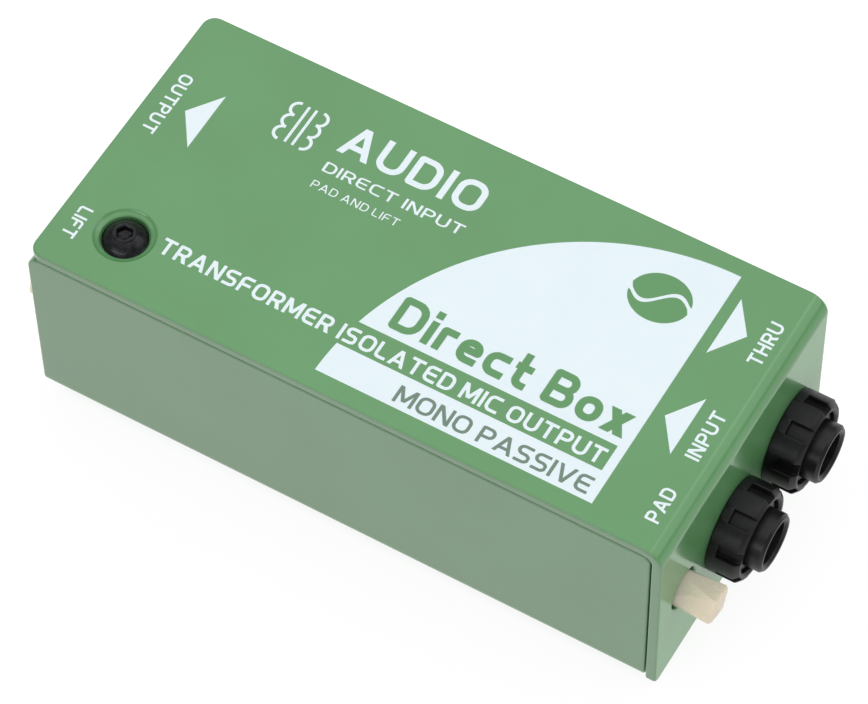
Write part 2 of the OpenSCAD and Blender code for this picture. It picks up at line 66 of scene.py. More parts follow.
def box_mm(node):
    """Lowest and highest corner of a CAD node, in millimetres."""
    low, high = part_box(node)
    return low / MM, high / MM


def middle_mm(node):
    """Middle of a CAD node's box, in millimetres."""
    low, high = box_mm(node)
    return (low + high) / 2


def mount_mm(name):
    """Position of a mount, in millimetres."""
    return Vector(MOUNTS[name]["pos_m"]) / MM


# ---- Driving sizes, in millimetres ----

SHEET = 1.6
SHEET_EDGE = 0.34
COVER_BEND = 3.0
BASE_BEND = 1.9
COVER_CORNER = 2.0
FLANGE_CORNER = 1.2
WALL_CORNER = 1.2
WALL_CORNER_OUTPUT = 2.2
CORNER_SEAM = 0.15
BEND_STEPS = 10
HOLE_SIDES = 72
MERGE = 0.0005

# How far each ink stands over the paint, which lies that much under the CAD cover's top
WHITE_INK = 0.012
GREEN_INK = 0.024
INK_UNDER = 0.004

COVER_LOW, COVER_HIGH = box_mm("top_cover")
BASE_LOW, BASE_HIGH = box_mm("base_shell")
PAINT_TOP = COVER_HIGH.z - GREEN_INK

SCREW_LOW, SCREW_HIGH = box_mm("cover_screw")
SCREW_X, SCREW_Y, _ = middle_mm("cover_screw")
HEAD_R = (SCREW_HIGH.x - SCREW_LOW.x) / 2
HEAD_H = 1.75
SCREW_L = 6.35
SOCKET_R = 1.05
SCREW_SEAT = SCREW_HIGH.z - HEAD_H
DIMPLE_R = 4.5
DIMPLE_FLOOR_R = HEAD_R + 0.16
# The dimple's lip, as how far out from its radius and how deep
DIMPLE_LIP = ((0.26, 0), (0.12, 0.015), (0, 0.06), (-0.1, 0.15), (-0.19, 0.26), (-0.28, 0.34),
              (-0.42, 0.42), (-0.6, 0.5))


# ---- Mesh tools ----

def rounded_path(corners, closed=False, inset=0.0, steps=6):
    """Points along straight runs joined by arcs. A corner is (a, b, radius).
    A closed path runs anticlockwise, and inset moves it inwards."""
    count = len(corners)
    points = []
    for i, (a, b, radius) in enumerate(corners):
        here = Vector((a, b))
        if not closed and i in (0, count - 1):
            points.append(here)
            continue
        before = here - Vector(corners[i - 1][:2])
        after = Vector(corners[(i + 1) % count][:2]) - here
        before.normalize()
        after.normalize()
        turn = atan2(before.x * after.y - before.y * after.x, before.dot(after))
        side_before = Vector((-before.y, before.x))
        side_after = Vector((-after.y, after.x))
        here = here + (side_before + side_after) * inset / (1 + side_before.dot(side_after))
        sign = 1.0 if turn > 0 else -1.0
        radius = max(radius - sign * inset, 0.01)
        centre = here - before * radius * tan(abs(turn) / 2) + side_before * radius * sign
        for k in range(steps + 1):
            spin = Matrix.Rotation(turn * k / steps, 2)
            points.append(centre - spin @ side_before * radius * sign)
    return points


def add_rings(mesh, rings, closed=False):
    """Joins rings of points with quads and returns the rings' vertices."""
    made = [[mesh.verts.new(point) for point in ring] for ring in rings]
    pairs = list(zip(made, made[1:]))
    if closed:
        pairs.append((made[-1], made[0]))
    for ring, following in pairs:
        for i in range(len(ring)):
            j = (i + 1) % len(ring)
            mesh.faces.new((ring[i], ring[j], following[j], following[i]))
    return made


def ring_edges(mesh, ring):
    """The edges along a ring of vertices."""
    return [mesh.edges.get((ring[i], ring[i - 1])) for i in range(len(ring))]


def tidy(mesh):
    """Joins coincident points and turns every face outwards."""
    bmesh.ops.remove_doubles(mesh, verts=mesh.verts[:], dist=MERGE)
    bmesh.ops.recalc_face_normals(mesh, faces=mesh.faces[:])


def add_part(mesh, part):
    """Moves a finished part into mesh."""
    tidy(part)
    carried = bpy.data.meshes.new("carried")
    part.to_mesh(carried)
    part.free()
    mesh.from_mesh(carried)
    bpy.data.meshes.remove(carried)


def add_loft(mesh, rings, closed=False, capped=True):
    """Adds a skin over rings of points. Open ends are capped flat, unless they are single points."""
    part = bmesh.new()
    made = add_rings(part, rings, closed)
    if capped and not closed:
        part.faces.new(made[0])
        part.faces.new(made[-1])
    add_part(mesh, part)


def turn_angles(sides):
    """Evenly spaced angles round a full turn."""
    return [2 * pi * i / sides for i in range(sides)]


def polar(radius, angle):
    """Two offsets from an axis."""
    return radius * cos(angle), radius * sin(angle)


def hexagon_shape(angle):
    """A hexagon's radius, as a share of half its width across the flats."""
    return 1.0 / cos(angle % radians(60) - radians(30))


def square_shape(angle):
    """A square's radius, as a share of half its width."""
    return 1.0 / max(abs(cos(angle)), abs(sin(angle)))


def add_lathe(mesh, profile, place, sides=96, closed=False):
    """Turns a profile of (distance along the axis, radius) about an axis.
    place gives the point at a distance along the axis and two offsets across it."""
    angles = turn_angles(sides)
    add_loft(mesh, [[place(along, *polar(radius, a)) for a in angles] for along, radius in profile], closed)


def edge_profile(thickness, edge, steps=4):
    """(inset, depth) down a sheet's rim, from one face to the other, with both edges eased."""
    eased = [(edge * (1 - sin(a)), edge * (1 - cos(a)))
             for a in (radians(90 * k / steps) for k in range(steps + 1))]
    return eased + [(inset, thickness - depth) for inset, depth in reversed(eased)]


def hole(centre, radius, thickness=SHEET, edge=SHEET_EDGE):
    """A plain round hole through a sheet, as its centre and its profile of (radius, depth)."""
    return centre, [(radius + inset, depth) for inset, depth in edge_profile(thickness, edge)]


def add_sheet(mesh, corners, fold, thickness=SHEET, edge=SHEET_EDGE, holes=(), cuts=()):
    """Adds a sheet drawn flat, cut along its bends and then folded.
    fold takes a flat place and a depth under the outer face, and gives the place in space.
    cuts are (axis, place) of the lines where the folded sheet turns."""
    part = bmesh.new()
    outline = [[(*point, depth) for point in rounded_path(corners, True, inset)]
               for inset, depth in edge_profile(thickness, edge)]
    made = add_rings(part, outline)
    faces = [ring_edges(part, made[0]), ring_edges(part, made[-1])]
    for (u, v), profile in holes:
        made = add_rings(part, [[(u + r * cos(a), v + r * sin(a), d) for a in turn_angles(HOLE_SIDES)]
                                for r, d in profile])
        faces[0] += ring_edges(part, made[0])
        goes_through = profile[-1][0] > 0
        if goes_through:
            faces[1] += ring_edges(part, made[-1])
    for edges in faces:
        bmesh.ops.triangle_fill(part, edges=edges, use_beauty=True, normal=(0, 0, 1))
    for axis, place in cuts:
        normal = Vector((0, 0, 0))
        normal[axis] = 1
        bmesh.ops.bisect_plane(part, geom=part.verts[:] + part.edges[:] + part.faces[:], dist=1e-5,
                               plane_co=normal * place, plane_no=normal)
    for vert in part.verts:
        vert.co = fold(*vert.co)
    add_part(mesh, part)


def bent(run, start, radius, depth):
    """Place round a right-angle bend that starts at a run: how far past the start along the first
    face, and how far under that face, for a point at a depth in the sheet."""
    length = radius * pi / 2
    if run <= start:
        return run - start, depth
    if run >= start + length:
        return radius - depth, radius + run - start - length
    angle = (run - start) / radius
    return (radius - depth) * sin(angle), radius - (radius - depth) * cos(angle)


def bend_cuts(axis, start, radius):
    """The lines across a right-angle bend that starts at a flat place."""
    length = radius * pi / 2
    return [(axis, start + length * k / BEND_STEPS) for k in range(BEND_STEPS + 1)]


def rectangle(low_a, high_a, low_b, high_b, radius):
    """Corners of a rectangle with one radius."""
    return [(low_a, low_b, radius), (high_a, low_b, radius), (high_a, high_b, radius),
            (low_a, high_b, radius)]


def new_object(name, data):
    """A new object in the scene."""
    made = bpy.data.objects.new(name, data)
    bpy.context.scene.collection.objects.link(made)
    return made


def make_piece(name, mesh, slot, *replaced, body="case", material=None, sharp=40):
    """Turns a mesh in millimetres into a piece in metres that rides on a body and stands for CAD nodes.
    Its material is its slot's, unless another is given."""
    tidy(mesh)
    bmesh.ops.scale(mesh, vec=(MM, MM, MM), verts=mesh.verts[:])
    data = bpy.data.meshes.new(name)
    mesh.to_mesh(data)
    mesh.free()
    data.shade_smooth()
    data.set_sharp_from_angle(angle=radians(sharp))
    data.materials.append(material or MATERIALS[slot])
    piece = new_object(name, data)
    normals = piece.modifiers.new("face_weighted_normals", "WEIGHTED_NORMAL")
    normals.keep_sharp = True
    normals.weight = 80
    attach(piece, body)
    if replaced:
        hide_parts(*replaced)
    return piece


# ---- Materials ----

# A wave texture's scale for stripes one unit apart
WAVE_SCALE = 0.314


class Finish:
    """A material whose colour, roughness and relief come from procedural nodes."""

    def __init__(self, name, settings=None):
        self.material = bpy.data.materials.new(name)
        self.material.use_nodes = True
        self.nodes = self.material.node_tree.nodes
        self.links = self.material.node_tree.links
        self.shader = self.nodes["Principled BSDF"]
        self.place = self.nodes.new("ShaderNodeTexCoord").outputs["Object"]
        for entry, value in (settings or {}).items():
            self.shader.inputs[entry].default_value = value

    def add(self, kind, source, inputs, entry="Vector"):
        """Adds a node fed by source, with its other inputs set."""
        node = self.nodes.new(kind)
        for name, value in inputs.items():
            node.inputs[name].default_value = value
        self.links.new(source, node.inputs[entry])
        return node

    def mapped(self, **change):
        """Object coordinates with a new Location or Scale."""
        return self.add("ShaderNodeMapping", self.place, change).outputs["Vector"]

    def noise(self, size_mm, detail=2.0, vector=None):
        """Noise whose blotches are about size_mm across."""
        return self.add("ShaderNodeTexNoise", vector or self.place,
                        {"Scale": 1 / (size_mm * MM), "Detail": detail}).outputs["Fac"]

    def bands(self, size_mm, axis, distortion=0.0):
        """Stripes size_mm apart along an axis."""
        node = self.add("ShaderNodeTexWave", self.place,
                        {"Scale": WAVE_SCALE / (size_mm * MM), "Distortion": distortion})
        node.bands_direction = axis
        return node.outputs["Fac"]

    def turned(self, size_mm, centre):
        """Rings size_mm apart round an upright axis through centre, in millimetres."""
        node = self.add("ShaderNodeTexWave", self.mapped(Location=[-place * MM for place in centre]),
                        {"Scale": WAVE_SCALE / (size_mm * MM), "Distortion": 1.5, "Detail Scale": 2.0})
        node.wave_type = "RINGS"
        node.rings_direction = "Z"
        return node.outputs["Fac"]

    def ranged(self, source, low, high, start=0.3, end=0.7):
        """A value remapped from start..end to low..high."""
        return self.add("ShaderNodeMapRange", source, {"From Min": start, "From Max": end, "To Min": low,
                                                       "To Max": high}, "Value").outputs["Result"]

    def colour(self, source, *stops):
        """Base colour along a ramp of (place, colour) stops."""
        ramp = self.nodes.new("ShaderNodeValToRGB")
        elements = ramp.color_ramp.elements
        while len(elements) < len(stops):
            elements.new(0.5)
        for element, (place, rgb) in zip(elements, stops):
            element.position = place
            element.color = (*rgb, 1)
        self.links.new(source, ramp.inputs["Fac"])
        self.links.new(ramp.outputs["Color"], self.shader.inputs["Base Color"])

    def roughness(self, source, low, high):
        """Roughness that follows a pattern."""
        self.links.new(self.ranged(source, low, high), self.shader.inputs["Roughness"])

    def relief(self, *layers):
        """Bump from (pattern, depth in millimetres) layers, one on another."""
        normal = None
        for source, depth_mm in layers:
            bump = self.add("ShaderNodeBump", source, {"Strength": 1.0, "Distance": depth_mm * MM},
                            "Height")
            if normal:
                self.links.new(normal, bump.inputs["Normal"])
            normal = bump.outputs["Normal"]
        self.links.new(normal, self.shader.inputs["Normal"])


def shade(rgb, factor):
    """A colour made lighter or darker."""
    return tuple(channel * factor for channel in rgb)


def paint(name, rgb, coat):
    """Semi-gloss powder paint: faint cloudiness and orange peel."""
    finish = Finish(name, {"Coat Weight": coat, "Coat Roughness": 0.12})
    finish.colour(finish.noise(18), (0.3, shade(rgb, 0.97)), (0.7, shade(rgb, 1.03)))
    finish.roughness(finish.noise(5, 3.0), 0.13, 0.18)
    finish.relief((finish.noise(0.9, 1.0), 0.0035), (finish.noise(0.25, 1.0), 0.0006))
    return finish.material


def moulded(name, rgb, low=0.32, high=0.45, mottle=0.15, depth_mm=0.004, ior=1.5):
    """Moulded plastic with a fine grain."""
    finish = Finish(name, {"IOR": ior})
    finish.colour(finish.noise(4), (0.3, shade(rgb, 1 - mottle)), (0.7, shade(rgb, 1 + mottle)))
    finish.roughness(finish.noise(1.5, 3.0), low, high)
    finish.relief((finish.noise(0.25), depth_mm), (finish.noise(2.5), 0.006))
    return finish.material


def metal(name, rgb, low=0.2, high=0.35, stretch=(1, 1, 1), size_mm=0.4, depth_mm=0.001):
    """Metal with drawn or brushed marks that run along the axes where stretch is small."""
    finish = Finish(name, {"Metallic": 1.0})
    marks = finish.noise(size_mm, 3.0, finish.mapped(Scale=stretch))
    finish.colour(finish.noise(3), (0.3, shade(rgb, 0.9)), (0.7, rgb))
    finish.roughness(marks, low, high)
    finish.relief((marks, depth_mm))
    return finish.material


def black_oxide(name, centre=(0, 0, 0)):
    """Oiled black oxide on a steel screw, with marks from turning round its centre."""
    finish = Finish(name, {"Metallic": 0.6})
    finish.colour(finish.noise(0.8, 4.0), (0.3, (0.010, 0.010, 0.012)), (0.75, (0.034, 0.034, 0.038)))
    finish.roughness(finish.noise(0.3, 4.0), 0.18, 0.32)
    finish.relief((finish.turned(0.22, centre), 0.006), (finish.noise(0.4, 3.0), 0.004))
    return finish.material


def ink(name, rgb):
    """Screen-printed ink: flat, slightly mottled."""
    finish = Finish(name)
    finish.colour(finish.noise(12, 4.0), (0.3, shade(rgb, 0.99)), (0.7, rgb))
    finish.roughness(finish.noise(2), 0.3, 0.36)
    finish.relief((finish.noise(0.5), 0.0015))
    return finish.material


def rubber(name):
    """Matt black rubber sheet with a fine tooth."""
    finish = Finish(name, {"IOR": 1.45})
    finish.colour(finish.noise(2, 5.0), (0.3, (0.018, 0.018, 0.018)), (0.7, (0.035, 0.034, 0.033)))
    finish.roughness(finish.noise(1), 0.75, 0.9)
    finish.relief((finish.noise(0.35, 4.0), 0.04))
    return finish.material


def board(name):
    """Green solder mask over copper areas."""
    finish = Finish(name)
    copper = finish.noise(6, 1.0)
    finish.colour(copper, (0.49, (0.01, 0.09, 0.04)), (0.51, (0.02, 0.16, 0.07)))
    finish.roughness(finish.noise(1), 0.25, 0.4)
    finish.relief((finish.ranged(copper, 0, 1, 0.49, 0.51), 0.03))
    return finish.material


def laminations(name):
    """Varnished stack of core sheets."""
    finish = Finish(name, {"Metallic": 0.8})
    sheets = finish.bands(0.5, "Y")
    finish.colour(sheets, (0.1, (0.09, 0.085, 0.08)), (0.6, (0.3, 0.29, 0.28)))
    finish.roughness(finish.noise(1.2), 0.35, 0.55)
    finish.relief((sheets, 0.03))
    return finish.material


def tape(name):
    """Yellow polyester tape, wound in overlapping layers."""
    finish = Finish(name, {"IOR": 1.6})
    layers = finish.bands(6, "X", 0.3)
    finish.colour(layers, (0.0, (0.55, 0.33, 0.05)), (0.5, (0.75, 0.5, 0.1)))
    finish.roughness(finish.noise(2), 0.12, 0.25)
    finish.relief((layers, 0.05), (finish.noise(1), 0.01))
    return finish.material


def lacquer(name):
    """Blue resistor lacquer with dark bands round the body."""
    finish = Finish(name, {"IOR": 1.55})
    stripes = finish.bands(1.6, "Y")
    finish.colour(stripes, (0.75, (0.1, 0.3, 0.5)), (0.8, (0.25, 0.09, 0.02)))
    finish.roughness(finish.noise(1), 0.15, 0.3)
    finish.relief((finish.noise(1.2), 0.02))
    return finish.material


COVER_GREEN = (0.143, 0.378, 0.147)
# Paler, greyer copy of the cover's green: painted reflection of the white floor on the base's upright faces
BASE_GREEN_PAINTED_REFLECTION = (0.150, 0.305, 0.154)
# Each slot's maker and the values it is given
FINISHES = {
    "cover_paint": (paint, COVER_GREEN, 0.35),
    "base_paint": (paint, BASE_GREEN_PAINTED_REFLECTION, 1.0),
    "zinc_steel": (metal, (0.62, 0.63, 0.65)),
    "screw_steel": (black_oxide, (SCREW_X, SCREW_Y, 0)),
    "pad_rubber": (rubber,),
    "connector_plastic": (moulded, (0.02, 0.02, 0.022)),
    "pin_metal": (metal, (0.82, 0.78, 0.68), 0.08, 0.18),
    "tinned_wire": (metal, (0.74, 0.74, 0.72)),
    "black_screw": (black_oxide,),
    "jack_plastic": (moulded, (0.009, 0.008, 0.010), 0.28, 0.4, 0.15, 0.004, 1.45),
    "nut_plastic": (moulded, (0.008, 0.007, 0.009), 0.32, 0.45, 0.15, 0.004, 1.42),
    "contact_brass": (metal, (0.75, 0.55, 0.25), 0.2, 0.35, (0.1, 1, 1)),
    "switch_plastic": (moulded, (0.04, 0.04, 0.045)),
    "plunger_plastic": (moulded, (0.75, 0.75, 0.72)),
    "button_plastic": (moulded, (0.80, 0.72, 0.61), 0.22, 0.3, 0.03, 0.0005),
    "spring_steel": (metal, (0.6, 0.6, 0.62)),
    "board_laminate": (board,),
    "core_laminations": (laminations,),
    "bobbin_plastic": (moulded, (0.03, 0.03, 0.035)),
    "winding_tape": (tape,),
    "resistor_lacquer": (lacquer,),
    "capacitor_plastic": (moulded, (0.42, 0.05, 0.03), 0.15, 0.3),
}
MATERIALS = {slot: make(slot, *values) for slot, (make, *values) in FINISHES.items()}
WHITE_PRINT = ink("white_print", (0.735, 0.78, 0.81))
GREY_PRINT = ink("grey_print", (0.19, 0.30, 0.225))
GREEN_PRINT = ink("green_print", COVER_GREEN)


# ---- Cover: top and jack end ----

COVER_FLAT = COVER_HIGH.x - COVER_BEND - COVER_LOW.x
COVER_BEND_L = COVER_BEND * pi / 2
INPUT_JACK = mount_mm("input_jack")
THRU_JACK = mount_mm("thru_jack")
BUSH_R = 5.5
BUTTON_HOLE_R = 3.2
HOLE_GAP = 0.2
# The part of a face's normal that points sideways on a cut edge; faces past it take the base's paler green,
# a painted reflection of the floor
REFLECTION_PAINT_FACING = 0.75


def fold_cover(u, v, depth):
    """u runs from the plain edge over the top, round the bend and down the flange."""
    along, down = bent(u, COVER_FLAT, COVER_BEND, depth)
    return COVER_HIGH.x - COVER_BEND + along, v, PAINT_TOP - down


def on_flange(y, z):
    """Flat place of a point on the jack end."""
    return COVER_FLAT + COVER_BEND_L + PAINT_TOP - COVER_BEND - z, y


def dimple():
    """Pressed dimple with a soft lip, and the screw's hole through its floor."""
    deep = PAINT_TOP - SCREW_SEAT
    bore_r, eased = 1.95, 0.15
    lip = [(DIMPLE_R + out, depth) for out, depth in DIMPLE_LIP]
    recess = [(DIMPLE_FLOOR_R + 0.14, 0.6), (DIMPLE_FLOOR_R + 0.03, 0.72), (DIMPLE_FLOOR_R, 0.85),
              (DIMPLE_FLOOR_R, deep - 0.1), (DIMPLE_FLOOR_R - 0.1, deep)]
    bore = [(bore_r + eased, deep), (bore_r, deep + eased), (bore_r, deep + SHEET - eased),
            (bore_r + eased, deep + SHEET)]
    underside = [(4.2, deep + SHEET), (4.9, deep + 0.9), (5.35, SHEET + 0.12), (5.7, SHEET)]
    return (SCREW_X - COVER_LOW.x, SCREW_Y), lip + recess + bore + underside


def build_cover():
    """Top and jack end. Its cut edges along the long sides take the base's paler green, painted reflection
    of the floor, since they face the same way as the front wall.
    """
    pad_axis = middle_mm("pad_button")
    end = COVER_FLAT + COVER_BEND_L + PAINT_TOP - COVER_BEND - COVER_LOW.z
    corners = [(0, COVER_LOW.y, COVER_CORNER), (end, COVER_LOW.y, FLANGE_CORNER),
               (end, COVER_HIGH.y, FLANGE_CORNER), (0, COVER_HIGH.y, COVER_CORNER)]
    holes = [dimple(), hole(on_flange(pad_axis.y, pad_axis.z), BUTTON_HOLE_R)]
    holes += [hole(on_flange(jack.y, jack.z), BUSH_R + HOLE_GAP) for jack in (INPUT_JACK, THRU_JACK)]
    mesh = bmesh.new()
    add_sheet(mesh, corners, fold_cover, holes=holes, cuts=bend_cuts(0, COVER_FLAT, COVER_BEND))
    cover = make_piece("cover_panel", mesh, "cover_paint", "top_cover")
    # Sideways-facing faces on the long cut edges get the paler base green: painted reflection of the floor,
    # chosen by which way each face points
    cover.data.materials.append(MATERIALS["base_paint"])
    edge_y = (COVER_HIGH.y - SHEET_EDGE) * MM
    for face in cover.data.polygons:
        if abs(face.normal.y) > REFLECTION_PAINT_FACING and abs(face.center.y) > edge_y:
            face.material_index = 1


# ---- Base shell: floor, both long sides and output end ----

BASE_FLOOR_W = BASE_HIGH.y - BASE_BEND
BASE_BEND_L = BASE_BEND * pi / 2
WALL_GAP = 0.28
WALL_H = BASE_HIGH.z - WALL_GAP - BASE_LOW.z - BASE_BEND
END_LIP = 2.0
END_START = BASE_LOW.x + BASE_BEND + END_LIP
END_CORNER = 0.8
# Relief cut where the walls and the output end part, as a share of the bend, and the end's clearance
RELIEF_SHARE = 0.4
NOTCH_GAP = 0.06
EAR_HALF = 5.5
EAR_HOLE_R = 2.45
PANEL_SCREW_R = 2.6


def fold_channel(u, v, depth):
    """u is x; v runs across the floor and up both long sides."""
    along, up = bent(abs(v), BASE_FLOOR_W, BASE_BEND, depth)
    return u, copysign(BASE_FLOOR_W + along, v), BASE_LOW.z + up


def fold_end(u, v, depth):
    """u runs from the floor round the bend and up the output end; v is y."""
    along, up = bent(u, END_LIP, BASE_BEND, depth)
    return BASE_LOW.x + BASE_BEND - along, v, BASE_LOW.z + up


def on_end(y, z):
    """Flat place of a point on the output end."""
    return END_LIP + BASE_BEND_L + z - BASE_LOW.z - BASE_BEND, y


def screw_places():
    """Centres of the output connector's two panel screws, from the CAD screws' box."""
    (_, *low), (_, *high) = box_mm("output_screws")
    return [[side + PANEL_SCREW_R for side in low], [side - PANEL_SCREW_R for side in high]]


def countersink(centre):
    """Countersunk hole for a panel screw, as its centre and its profile of (radius, depth)."""
    return centre, [(2.85, 0), (2.75, 0.03), (2.66, 0.1), (1.65, 1.2), (1.6, 1.5), (1.7, SHEET)]


def build_base():
    """Floor with both long sides, the output end, and the ear that holds the captive nut."""
    top = BASE_FLOOR_W + BASE_BEND_L + WALL_H
    relief = BASE_FLOOR_W + RELIEF_SHARE * BASE_BEND_L
    end_half = BASE_HIGH.y - SHEET - CORNER_SEAM
    notch = end_half + NOTCH_GAP
    left, bend_x, right = BASE_LOW.x, BASE_LOW.x + BASE_BEND, BASE_HIGH.x
    half = [(right, top, WALL_CORNER), (left, top, WALL_CORNER_OUTPUT), (left, relief, 0.5),
            (bend_x, relief, 0.1), (bend_x, notch, 0.05), (END_START, notch, 0.05)]
    mirrored = [(x, -y, radius) for x, y, radius in reversed(half)]
    corners = mirrored[-1:] + half + mirrored[:-1]
    cuts = bend_cuts(1, BASE_FLOOR_W, BASE_BEND)
    mesh = bmesh.new()
    add_sheet(mesh, corners, fold_channel, cuts=cuts + [(axis, -place) for axis, place in cuts])

    lift_axis = middle_mm("lift_button")
    holes = [hole(on_end(lift_axis.y, lift_axis.z), BUTTON_HOLE_R),
             hole(on_end(OUTPUT.y, OUTPUT.z), CUP_OUT_R + HOLE_GAP)]
    holes += [countersink(on_end(y, z)) for y, z in screw_places()]
    end_top = END_LIP + BASE_BEND_L + WALL_H
    add_sheet(mesh, rectangle(0, end_top, -end_half, end_half, END_CORNER), fold_end, holes=holes,
              cuts=bend_cuts(0, END_LIP, BASE_BEND))

    ear_top = box_mm("captive_nut")[1].z
    ear = rectangle(SCREW_X - EAR_HALF, SCREW_X + EAR_HALF, BASE_LOW.y + SHEET, SCREW_Y + EAR_HALF, 1.0)
    add_sheet(mesh, ear, lambda x, y, depth: (x, y, ear_top - depth),
              holes=[hole((SCREW_X, SCREW_Y), EAR_HOLE_R)])
    make_piece("base_folded", mesh, "base_paint", "base_shell")


# ---- Fasteners and pad ----

def build_cover_screw():
    """Button-head screw with a hexagon socket."""
    def ring(height, radius, shape=lambda angle: 1.0):
        return [(SCREW_X + radius * shape(a) * cos(a), SCREW_Y + radius * shape(a) * sin(a),
                 SCREW_SEAT + height) for a in turn_angles(96)]

    rim_h, shank_r, crown_r, dome_rise, steps = 0.2, 1.75, 1.75, 1.9, 12
    rings = [ring(height, radius) for height, radius in (
        (-SCREW_L, shank_r - 0.3), (-SCREW_L + 0.25, shank_r - 0.05), (0, shank_r), (0, HEAD_R - 0.1),
        (0.08, HEAD_R), (rim_h, HEAD_R))]
    dome_r = (HEAD_R ** 2 + dome_rise ** 2) / (2 * dome_rise)
    for k in range(1, steps + 1):
        radius = HEAD_R - 0.02 - (HEAD_R - crown_r) * k / steps
        height = rim_h + HEAD_H - dome_r + sqrt(dome_r ** 2 - radius ** 2)
        rings.append(ring(min(HEAD_H, height), radius))
    rings += [ring(HEAD_H, 1.6), ring(HEAD_H, 1.45)]
    for depth, radius in ((0.0, SOCKET_R + 0.15), (0.1, SOCKET_R + 0.03), (0.16, SOCKET_R),
                          (1.05, SOCKET_R), (1.12, SOCKET_R - 0.1)):
        rings.append(ring(HEAD_H - depth, radius, hexagon_shape))
    rings.append(ring(HEAD_H - 1.35, 0.02))
    mesh = bmesh.new()
    add_loft(mesh, rings)
    make_piece("cover_screw_head", mesh, "screw_steel", "cover_screw", sharp=28)


def build_foot_pad():
    """Flat rubber pad with eased edges."""
    low, high = box_mm("no_slip_pad")
    mesh = bmesh.new()
    add_sheet(mesh, rectangle(low.x, high.x, low.y, high.y, 2.0),
              lambda x, y, depth: (x, y, high.z - depth), thickness=high.z - low.z, edge=0.35)
    make_piece("foot_pad", mesh, "pad_rubber", "no_slip_pad")


# ---- Jacks ----

BORE_R = MOUNTS["input_jack"]["dims"]["r_mm"]
NOSE_R = 4.45
NUT_R = 7.2
NUT_SLOTS = 8
SLOT_HALF = 1.1
SLOT_DEPTH = 0.9


def slotted_ring(radius, floor_r, slot_share):
    """(angle, radius) round a nut whose slots are cut down to floor_r by slot_share."""
    places = []
    pitch = 2 * pi / NUT_SLOTS
    wall = asin(SLOT_HALF / NUT_R)
    ease = radians(0.9)
    deep = radius + (min(floor_r, radius) - radius) * slot_share
    step = radius - deep
    for n in range(NUT_SLOTS):
        middle = radians(90) + (n + 0.5) * pitch
        floor = [(middle + wall * share, deep) for share in (-0.94, -0.5, 0, 0.5, 0.94)]
        rise = [(middle + wall * 0.99, deep + step * 0.1), (middle + wall, radius - step * 0.12),
                (middle + wall + ease * 0.5, radius - step * 0.03)]
        land = [(middle + wall + ease + (pitch - 2 * wall - 2 * ease) * k / 8, radius) for k in range(9)]
        drop = [(2 * middle + pitch - angle, r) for angle, r in reversed(rise)]
        places += floor + rise + land + drop
    return places


def build_nut(name, node, jack):
    """Ring nut with a smooth band at the panel and slots over the rest of its rim."""
    low, high = box_mm(node)
    height = high.x - low.x
    outer = (high.y - low.y) / 2
    band = 1.45
    rim = [(0, outer - 0.25, 0), (0.08, outer - 0.08, 0), (0.25, outer, 0), (band - 0.06, outer, 0),
           (band, outer, 0.03), (band + 0.03, outer, 0.15), (band + 0.06, outer, 0.9),
           (band + 0.14, outer, 1), (height - 0.78, outer, 1), (height - 0.68, outer - 0.05, 1),
           (height - 0.12, outer - 0.6, 1), (height, outer - 0.8, 1)]
    rings = [[(angle, radius, along) for angle, radius in slotted_ring(r, outer - SLOT_DEPTH, share)]
             for along, r, share in rim]
    angles = [angle for angle, _, _ in rings[0]]
    inner = BUSH_R + 0.05
    for along, r in ((height, inner + 0.35), (height - 0.25, inner + 0.05), (height - 0.35, inner),
                     (0.3, inner), (0, inner + 0.2)):
        rings.append([(angle, r, along) for angle in angles])
    mesh = bmesh.new()
    add_loft(mesh, [[(low.x + along, jack.y + r * cos(angle), jack.z + r * sin(angle))
                     for angle, r, along in ring] for ring in rings], closed=True)
    make_piece(name, mesh, "nut_plastic", node, sharp=30)


def thread_profile(start, end, radius, pitch=1.0, depth=0.3):
    """A row of rounded ridges along a bush."""
    ridges = []
    for k in range(int((end - start) / pitch)):
        at = start + k * pitch
        ridges += [(at, radius - depth), (at + pitch * 0.25, radius - depth * 0.4),
                   (at + pitch * 0.45, radius), (at + pitch * 0.65, radius)]
    return ridges


def build_jack(name, node, jack):
    """Moulded jack: threaded bush with a smooth nose, in front of its contact block."""
    low, high = box_mm(node)
    face = COVER_HIGH.x
    inner_face = face - SHEET
    nose = high.x - face
    thread_end = 4.2

    def place(along, b, c):
        return face + along, jack.y + b, jack.z + c

    outside = [(-SHEET, BUSH_R)] + thread_profile(0.2, thread_end, BUSH_R)
    front = rounded_path([(thread_end, BUSH_R - 0.3, 0), (thread_end + 0.1, BUSH_R - 0.4, 0.05),
                          (thread_end + 0.1, NOSE_R, 0.05), (nose - 0.45, NOSE_R, 0.12),
                          (nose, NOSE_R - 0.38, 0.1), (nose, BORE_R + 0.42, 0.08),
                          (nose - 0.42, BORE_R, 0.12), (-SHEET, BORE_R, 0)])
    mesh = bmesh.new()
    add_lathe(mesh, outside + [tuple(p) for p in front], place, closed=True)
    chamber_r, chamber_start = 4.45, 4.2
    block_l = inner_face - low.x
    chamber_end = block_l - 1.6
    chamber = [(BORE_R + 0.3, 0), (BORE_R, 0.3), (BORE_R, chamber_start), (chamber_r, chamber_start),
               (chamber_r, chamber_end), (0, chamber_end)]
    add_sheet(mesh, rectangle(low.y, high.y, low.z, high.z, 0.5),
              lambda y, z, depth: (inner_face - depth, y, z), thickness=block_l, edge=0.3,
              holes=[((jack.y, jack.z), chamber)])
    make_piece(name, mesh, "jack_plastic", node)


# ---- Output connector ----

